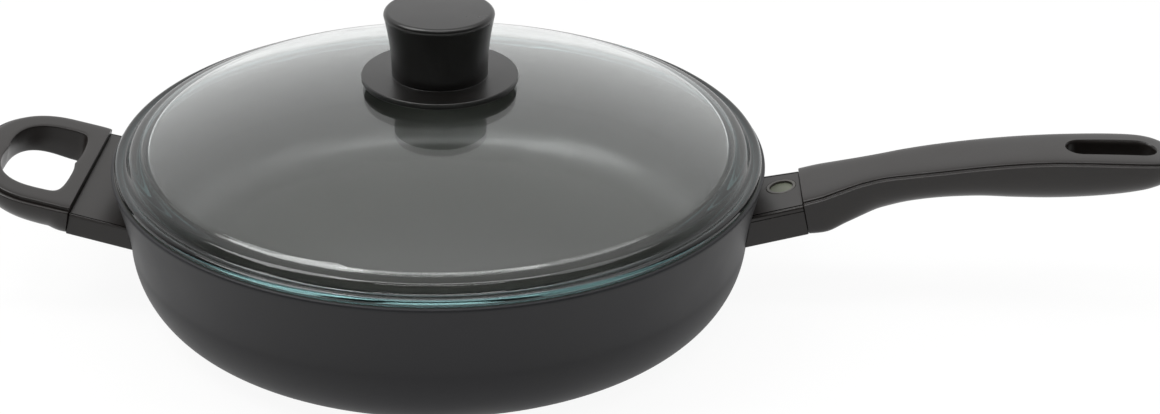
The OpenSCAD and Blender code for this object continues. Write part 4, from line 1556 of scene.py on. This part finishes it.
@dataclass
class Lid:
    """Pressed glass lid with its knob. Sizes in millimetres."""

    pan: PanBody
    inset: float = 1.5
    glass_t: float = 4.5
    bead_h: float = 4.5
    bead_w: float = 4.0
    bead_low: float = 0.8
    bead_share: float = 0.72
    shoulder_w: float = 12.5
    shoulder_h: float = 8.0
    dome_rise: float = 24.6
    ring_depth: float = 3.0
    ring_gap: float = 0.8
    ring_round: float = 1.0
    ring_w: float = 2.0
    hole_r: float = 5.0
    flange_r: float = 33.4
    flange_t: float = 2.6
    knob_h: float = 28.6
    knob_base_r: float = 20.4
    knob_top_r: float = 23.4
    knob_round: float = 2.0
    knob_wall: float = 4.0
    knob_core_r: float = 7.5
    flange_round: float = 0.6
    knob_foot: float = 0.12
    insert_r: float = 4.2
    insert_len: float = 13.0
    seal_t: float = 0.9
    glass_sharp: float = 50.0
    segments: int = 256

    @property
    def edge_r(self) -> float:
        """Radius at the foot of the dome."""
        return self.pan.rim_r - self.inset - self.shoulder_w

    def dome_z(self, radius: float, thickness: float = 0.0) -> float:
        """Height of the dome at a radius, or of its underside.

        Args:
            radius: Distance from the lid's axis.
            thickness: How far below the outside, zero for the outside.

        Returns:
            The height above the pan's base.
        """
        ball = (self.edge_r ** 2 + self.dome_rise ** 2) / (2 * self.dome_rise)
        centre = self.pan.height + self.shoulder_h + self.dome_rise - ball
        return centre + math.sqrt((ball - thickness) ** 2 - radius ** 2)

    def glass_outline(self) -> list[Point]:
        """Outline of the glass, once round.

        Returns:
            Radius and height pairs.
        """
        lid_r, rim_z = self.pan.rim_r - self.inset, self.pan.height
        # Fine step at the dome's foot, shelf, steep shoulder and the hollow before the bead
        shares = (
            (0.02, 0.981), (0.04, 0.954), (0.06, 0.928), (0.08, 0.909), (0.11, 0.89), (0.16, 0.871),
            (0.22, 0.852), (0.29, 0.827), (0.345, 0.80), (0.385, 0.771), (0.415, 0.739), (0.44, 0.705),
            (0.465, 0.662), (0.49, 0.61), (0.52, 0.538), (0.56, 0.446), (0.60, 0.372), (0.64, 0.33),
            (0.69, 0.322), (0.75, 0.345), (0.81, 0.378),
        )
        steps = 48
        top = [self.hole_r + (self.edge_r - self.hole_r) * i / steps for i in range(steps + 1)]
        points = [(radius, self.dome_z(radius)) for radius in top]
        points += [(self.edge_r + a * self.shoulder_w, rim_z + b * self.shoulder_h) for a, b in shares]
        bead, foot = (self.bead_w / 2, self.bead_h * self.bead_share - self.bead_low), self.bead_low
        points += arc((lid_r - self.bead_w / 2, rim_z + foot), bead, 75, 0, 20)
        points += arc((lid_r - foot, rim_z + foot), (foot, foot), -10, -90, 6)
        ring_r = self.pan.rim_r - self.pan.wall_t - self.ring_gap
        soft, low = self.ring_round, rim_z - self.ring_depth + self.ring_round
        points.append((ring_r, rim_z))
        points += arc((ring_r - soft, low), (soft, soft), 0, -90, 8)
        points += arc((self.edge_r + self.ring_w, low), (soft, soft), -90, -180, 8)
        under_r = self.edge_r - self.glass_t / 2
        below = [under_r + (self.hole_r - under_r) * i / steps for i in range(steps + 1)]
        return points + [(radius, self.dome_z(radius, self.glass_t)) for radius in below]

    def build_glass(self) -> None:
        """Makes the pressed glass."""
        skin = lathe(self.glass_outline(), self.segments, True)
        piece = new_piece("lid_dome_glass", skin, [LID_GLASS.material()], self.glass_sharp)
        settle(piece, "lid", "lid_glass", "lid_glass")

    def knob_outline(self) -> list[Point]:
        """Outline of the knob from the axis below to the axis on top, with its hollow.

        Returns:
            Radius and height pairs.
        """
        start = self.dome_z(self.hole_r) + self.seal_t
        hollow_r, soft, foot = self.knob_base_r - self.knob_wall, self.flange_round, self.knob_foot
        roof_t = self.knob_wall * 1.5
        hollow_h = self.flange_t + self.knob_h - roof_t
        points = [(0.0, self.insert_len), (self.insert_r, self.insert_len), (self.insert_r, 0.0)]
        core_r = self.knob_core_r
        points += [(core_r, 0.0), (core_r, hollow_h), (hollow_r, hollow_h), (hollow_r, 0.0)]
        points += arc((self.flange_r - soft, soft), (soft, soft), -90, 0, 6)
        points += arc((self.flange_r - soft, self.flange_t - soft), (soft, soft), 0, 90, 6)
        points += arc((self.knob_base_r + foot, self.flange_t + foot), (foot, foot), -90, -175, 6)
        steps = 24
        run = self.knob_h - self.knob_round
        for i in range(2, steps + 1):
            share = i / steps
            radius = self.knob_base_r + (self.knob_top_r - self.knob_base_r) * share ** 2
            points.append((radius, self.flange_t + share * run))
        centre = (self.knob_top_r - self.knob_round, self.flange_t + run)
        points += arc(centre, (self.knob_round, self.knob_round), 8, 90, 10)
        points.append((0.0, self.flange_t + self.knob_h))
        return [(radius, height + start) for radius, height in points]

    def build_knob(self) -> None:
        """Makes the knob and its flange, which are one moulding."""
        piece = new_piece("knob_moulding", lathe(self.knob_outline(), 192), [KNOB_PHENOLIC.material()])
        settle(piece, "lid", "knob_phenolic", "lid_knob")

    def build(self) -> None:
        """Makes the whole lid."""
        self.build_glass()
        self.build_knob()


@dataclass(frozen=True)
class Stand:
    """Where equal fasteners stand and what they stand for.

    Attributes:
        name: The piece's name.
        node: The CAD node that it stands for.
        body: The body that it moves with.
        spots: Places in the stand's own millimetres.
        place: Turns those millimetres into metres of the row frame.
    """

    name: str
    node: str
    body: str
    spots: tuple[Point3, ...]
    place: Matrix


@dataclass
class Fasteners:
    """Screws and washers of both handles and of the lid. Sizes in millimetres."""

    long_handle: LongHandle
    side_handle: SideHandle
    lid: Lid
    screw_r: float = 2.4
    small_screw_r: float = 1.7
    long_len: float = 7.8
    side_len: float = 6.1
    head_share: float = 1.9
    head_h_share: float = 1.1
    pitch_share: float = 0.35
    recess_w: float = 1.0
    hole_gap: float = 0.1
    washer_t: float = 0.9
    washer_round: float = 0.12
    lid_washer_r: float = 8.8
    lock_share: float = 1.2
    lock_rise: float = 0.14
    seal_r: float = 10.0
    seal_t: float = 1.2
    seal_gap: float = 0.05

    def screws(self, stand: Stand, radius: float, length: float) -> None:
        """Makes one screw, or a row of the same screw, with the head below.

        Args:
            stand: Where each screw's head meets its washer.
            radius: Radius of the thread.
            length: Length of the shank.
        """
        sizes = {
            "Head Radius": radius * self.head_share,
            "Head Height": radius * self.head_h_share,
            "Shank Radius": radius,
            "Shank Length": length,
            "Pitch": radius * self.pitch_share,
            "Recess Width": self.recess_w,
        }
        self.set_out(PanHeadScrew, stand, sizes)

    def washers(self, stand: Stand, radii: Point, thickness: float, rise: float = 0.0) -> None:
        """Makes one washer, or a row of the same washer.

        Args:
            stand: Where the middle of each underside lies.
            radii: Radius of the hole and of the edge.
            thickness: Height of the whole washer.
            rise: How far a split washer's ends stand apart, or zero for a closed one.
        """
        hole_r, edge_r = radii
        # A split washer is narrower by half its rise
        sizes = {
            "Middle Radius": (hole_r + edge_r) / 2,
            "Width": edge_r - hole_r - rise / 2,
            "Thickness": thickness - rise,
            "Rounding": self.washer_round,
            "Split": rise > 0,
            "Split Rise": rise,
        }
        lifted = tuple((x, y, z + (thickness - rise) / 2) for x, y, z in stand.spots)
        self.set_out(RolledWasher, replace(stand, spots=lifted), sizes)

    def set_out(self, kind: type[NodeForm], stand: Stand, sizes: dict[str, Any]) -> None:
        """Casts a form on its spots and settles it as one piece.

        Args:
            kind: The form.
            stand: Where it stands.
            sizes: Its sizes in millimetres, and its switches.
        """
        steel = FASTENER_STEEL.material()
        values = {label: size if isinstance(size, bool) else size * MM for label, size in sizes.items()}
        skin = node_form(kind).cast([tuple(Vector(spot) * MM) for spot in stand.spots], None, values, steel)
        skin.transform(stand.place @ TO_MM)
        settle(new_piece(stand.name, skin, [steel]), stand.body, "fastener_steel", stand.node)

    def build_handles(self) -> None:
        """Makes the screws and washers below both handles."""
        handle, loop = self.long_handle, self.side_handle
        low = handle.ledge_z - self.washer_t
        stand = Stand("long_screw", "long_handle_screw", "pan", ((handle.screw_u, 0.0, low),), handle.place)
        self.screws(stand, self.screw_r, self.long_len)
        radii = (self.screw_r + self.hole_gap, self.screw_r * self.head_share)
        self.washers(replace(stand, name="long_washer", node="long_handle_washer"), radii, self.washer_t)
        low = loop.ledge_z - self.washer_t
        spots = tuple((loop.screw_u, side * loop.screw_side, low) for side in (-1, 1))
        stand = Stand("loop_screws", "side_handle_screws", "pan", spots, loop.place)
        self.screws(stand, self.small_screw_r, self.side_len)
        radii = (self.small_screw_r + self.hole_gap, self.small_screw_r * self.head_share)
        self.washers(replace(stand, name="loop_washers", node="side_handle_washers"), radii, self.washer_t)

    def build_lid(self) -> None:
        """Makes the stack below the lid: plain washer, lock washer and screw."""
        lid = self.lid
        seal_z = lid.dome_z(self.seal_r, lid.glass_t) - self.seal_gap - self.seal_t
        plain_z = seal_z - self.washer_t
        stand = Stand("lid_plain_washer", "lid_washer", "lid", ((0.0, 0.0, plain_z),), Matrix.Scale(MM, 4))
        self.washers(stand, (self.screw_r + 2 * self.hole_gap, self.lid_washer_r), self.washer_t)
        lock_t = self.washer_t * self.lock_share
        low = plain_z - lock_t
        radii = (self.screw_r + self.hole_gap, self.screw_r * self.head_share)
        stand = replace(stand, name="lid_spring_washer", node="lid_lock_washer", spots=((0.0, 0.0, low),))
        self.washers(stand, radii, lock_t, self.lock_rise)
        knob_z = lid.dome_z(lid.hole_r) + lid.seal_t
        length = knob_z - low + lid.insert_len - self.washer_t
        self.screws(replace(stand, name="lid_clamp_screw", node="lid_screw"), self.screw_r, length)

    def build(self) -> None:
        """Makes all screws and washers."""
        self.build_handles()
        self.build_lid()


@dataclass
class Studio:
    """Floor, lamps, backdrop light and camera. Sizes in metres, apart from those named otherwise.

    Attributes:
        eye: Where the camera stands.
        right: The photograph's rightward direction.
        upward: Its upward direction.
        focal_px: Focal length in pixels of the photograph.
        width_px: Width of the photograph.
        sensor_mm: Width of the camera's sensor.
        clip: Nearest distance that the camera sees.
        dim: Brightness of the studio's dim side, from which the picture is taken.
        fill: Brightness of its white sides, above and behind.
        bright_way: Direction in which those sides lie.
        ramp: How far a direction leans that way where the white starts and where it is full.
        floor_size: Half the floor's width.
        floor_drop: How far the floor lies below the base.
        lamps: Each lamp's name, place, width and height, and power in watts.
    """

    eye: Point3 = (0.07559, -0.82591, 0.45951)
    right: Point3 = (0.9995, 0.0275, 0.0185)
    upward: Point3 = (-0.029, 0.4551, 0.89)
    focal_px: float = 2119.3
    width_px: float = 1160.0
    sensor_mm: float = 36.0
    clip: float = 0.01
    dim: float = 0.03
    fill: float = 1.0
    bright_way: Point3 = (-0.04, 1.0, 0.3)
    ramp: Point = (-0.2, 0.75)
    floor_size: float = 6.0
    floor_drop: float = 0.0003
    lamps: tuple[tuple[str, Point3, Point, float], ...] = (
        ("left_softbox", (-0.8, -0.1, 1.35), (0.8, 0.9), 12.0),
        ("right_softbox", (0.85, -0.1, 1.35), (0.8, 0.9), 4.2),
        ("overhead", (0.0, -0.12, 1.5), (1.1, 0.35), 6.0),
        ("front_strip", (0.05, -0.75, 1.45), (0.9, 0.14), 2.8),
    )

    def camera(self) -> None:
        """Sets the camera at the photograph's viewing angle."""
        data = bpy.data.cameras.new("camera")
        data.sensor_width = self.sensor_mm
        data.lens = self.sensor_mm * self.focal_px / self.width_px
        data.clip_start = self.clip
        camera = bpy.data.objects.new("camera", data)
        across = Vector(self.right).normalized()
        back = across.cross(Vector(self.upward)).normalized()
        up = back.cross(across)
        camera.matrix_world = Matrix.Translation(self.eye) @ Matrix((across, up, back)).transposed().to_4x4()
        bpy.context.scene.collection.objects.link(camera)
        bpy.context.scene.camera = camera

    def lamp(self, name: str, spot: Point3, size: Point, watts: float) -> None:
        """Adds one large soft lamp that points at the origin.

        Args:
            name: Its name.
            spot: Where it hangs.
            size: Its width and height.
            watts: Its power.
        """
        data = bpy.data.lights.new(name, "AREA")
        data.shape = "RECTANGLE"
        data.size, data.size_y = size
        data.energy = watts
        lamp = bpy.data.objects.new(name, data)
        lamp.visible_camera = False
        aim = (-Vector(spot)).to_track_quat("-Z", "Y").to_matrix().to_4x4()
        lamp.matrix_world = Matrix.Translation(spot) @ aim
        bpy.context.scene.collection.objects.link(lamp)

    def world(self) -> None:
        """Surrounds the object with white that is dim only on the camera's side."""
        world = bpy.data.worlds.new("studio")
        bpy.context.scene.world = world
        world.use_nodes = True
        tree = world.node_tree
        tree.nodes.clear()
        way = add_node(tree, "ShaderNodeTexCoord").outputs["Generated"]
        lean = {0: way, 1: self.bright_way}
        facing = add_node(tree, "ShaderNodeVectorMath", {"operation": "DOT_PRODUCT"}, lean).outputs["Value"]
        ends = {"From Min": self.ramp[0], "From Max": self.ramp[1], "To Min": self.dim, "To Max": self.fill}
        smooth = {"interpolation_type": "SMOOTHSTEP"}
        sides = add_node(tree, "ShaderNodeMapRange", smooth, {"Value": facing, **ends}).outputs["Result"]
        light = {"Color": linear_rgba("#ffffff"), "Strength": background_share(tree, 1.0, sides, sides)}
        sky = add_node(tree, "ShaderNodeBackground", {}, light)
        add_node(tree, "ShaderNodeOutputWorld", {}, {"Surface": sky})

    def floor(self) -> None:
        """Lays the pale floor."""
        skin = bmesh.new()
        bmesh.ops.create_grid(skin, x_segments=1, y_segments=1, size=self.floor_size)
        skin.transform(Matrix.Translation((0.0, 0.0, -self.floor_drop)))
        sheet = new_piece("floor", skin, [StudioFloor().material()])

    def build(self) -> None:
        """Sets up the whole studio."""
        self.camera()
        self.world()
        self.floor()
        for lamp in self.lamps:
            self.lamp(*lamp)
        bpy.context.scene.view_settings.view_transform = "Standard"


def main() -> None:
    """Builds the pan, the handles, the lid and the studio."""
    logging.basicConfig(level=logging.INFO, format="%(name)s: %(message)s")
    pan = PanBody()
    pan.build()
    long_handle, side_handle, lid = LongHandle(pan), SideHandle(pan), Lid(pan)
    for assembly in (long_handle, side_handle, lid, Fasteners(long_handle, side_handle, lid)):
        assembly.build()
    for node, finish in PACKED_FINISHES.items():
        dress_node(node, finish)
    Studio().build()


if __name__ == "__main__":
    main()
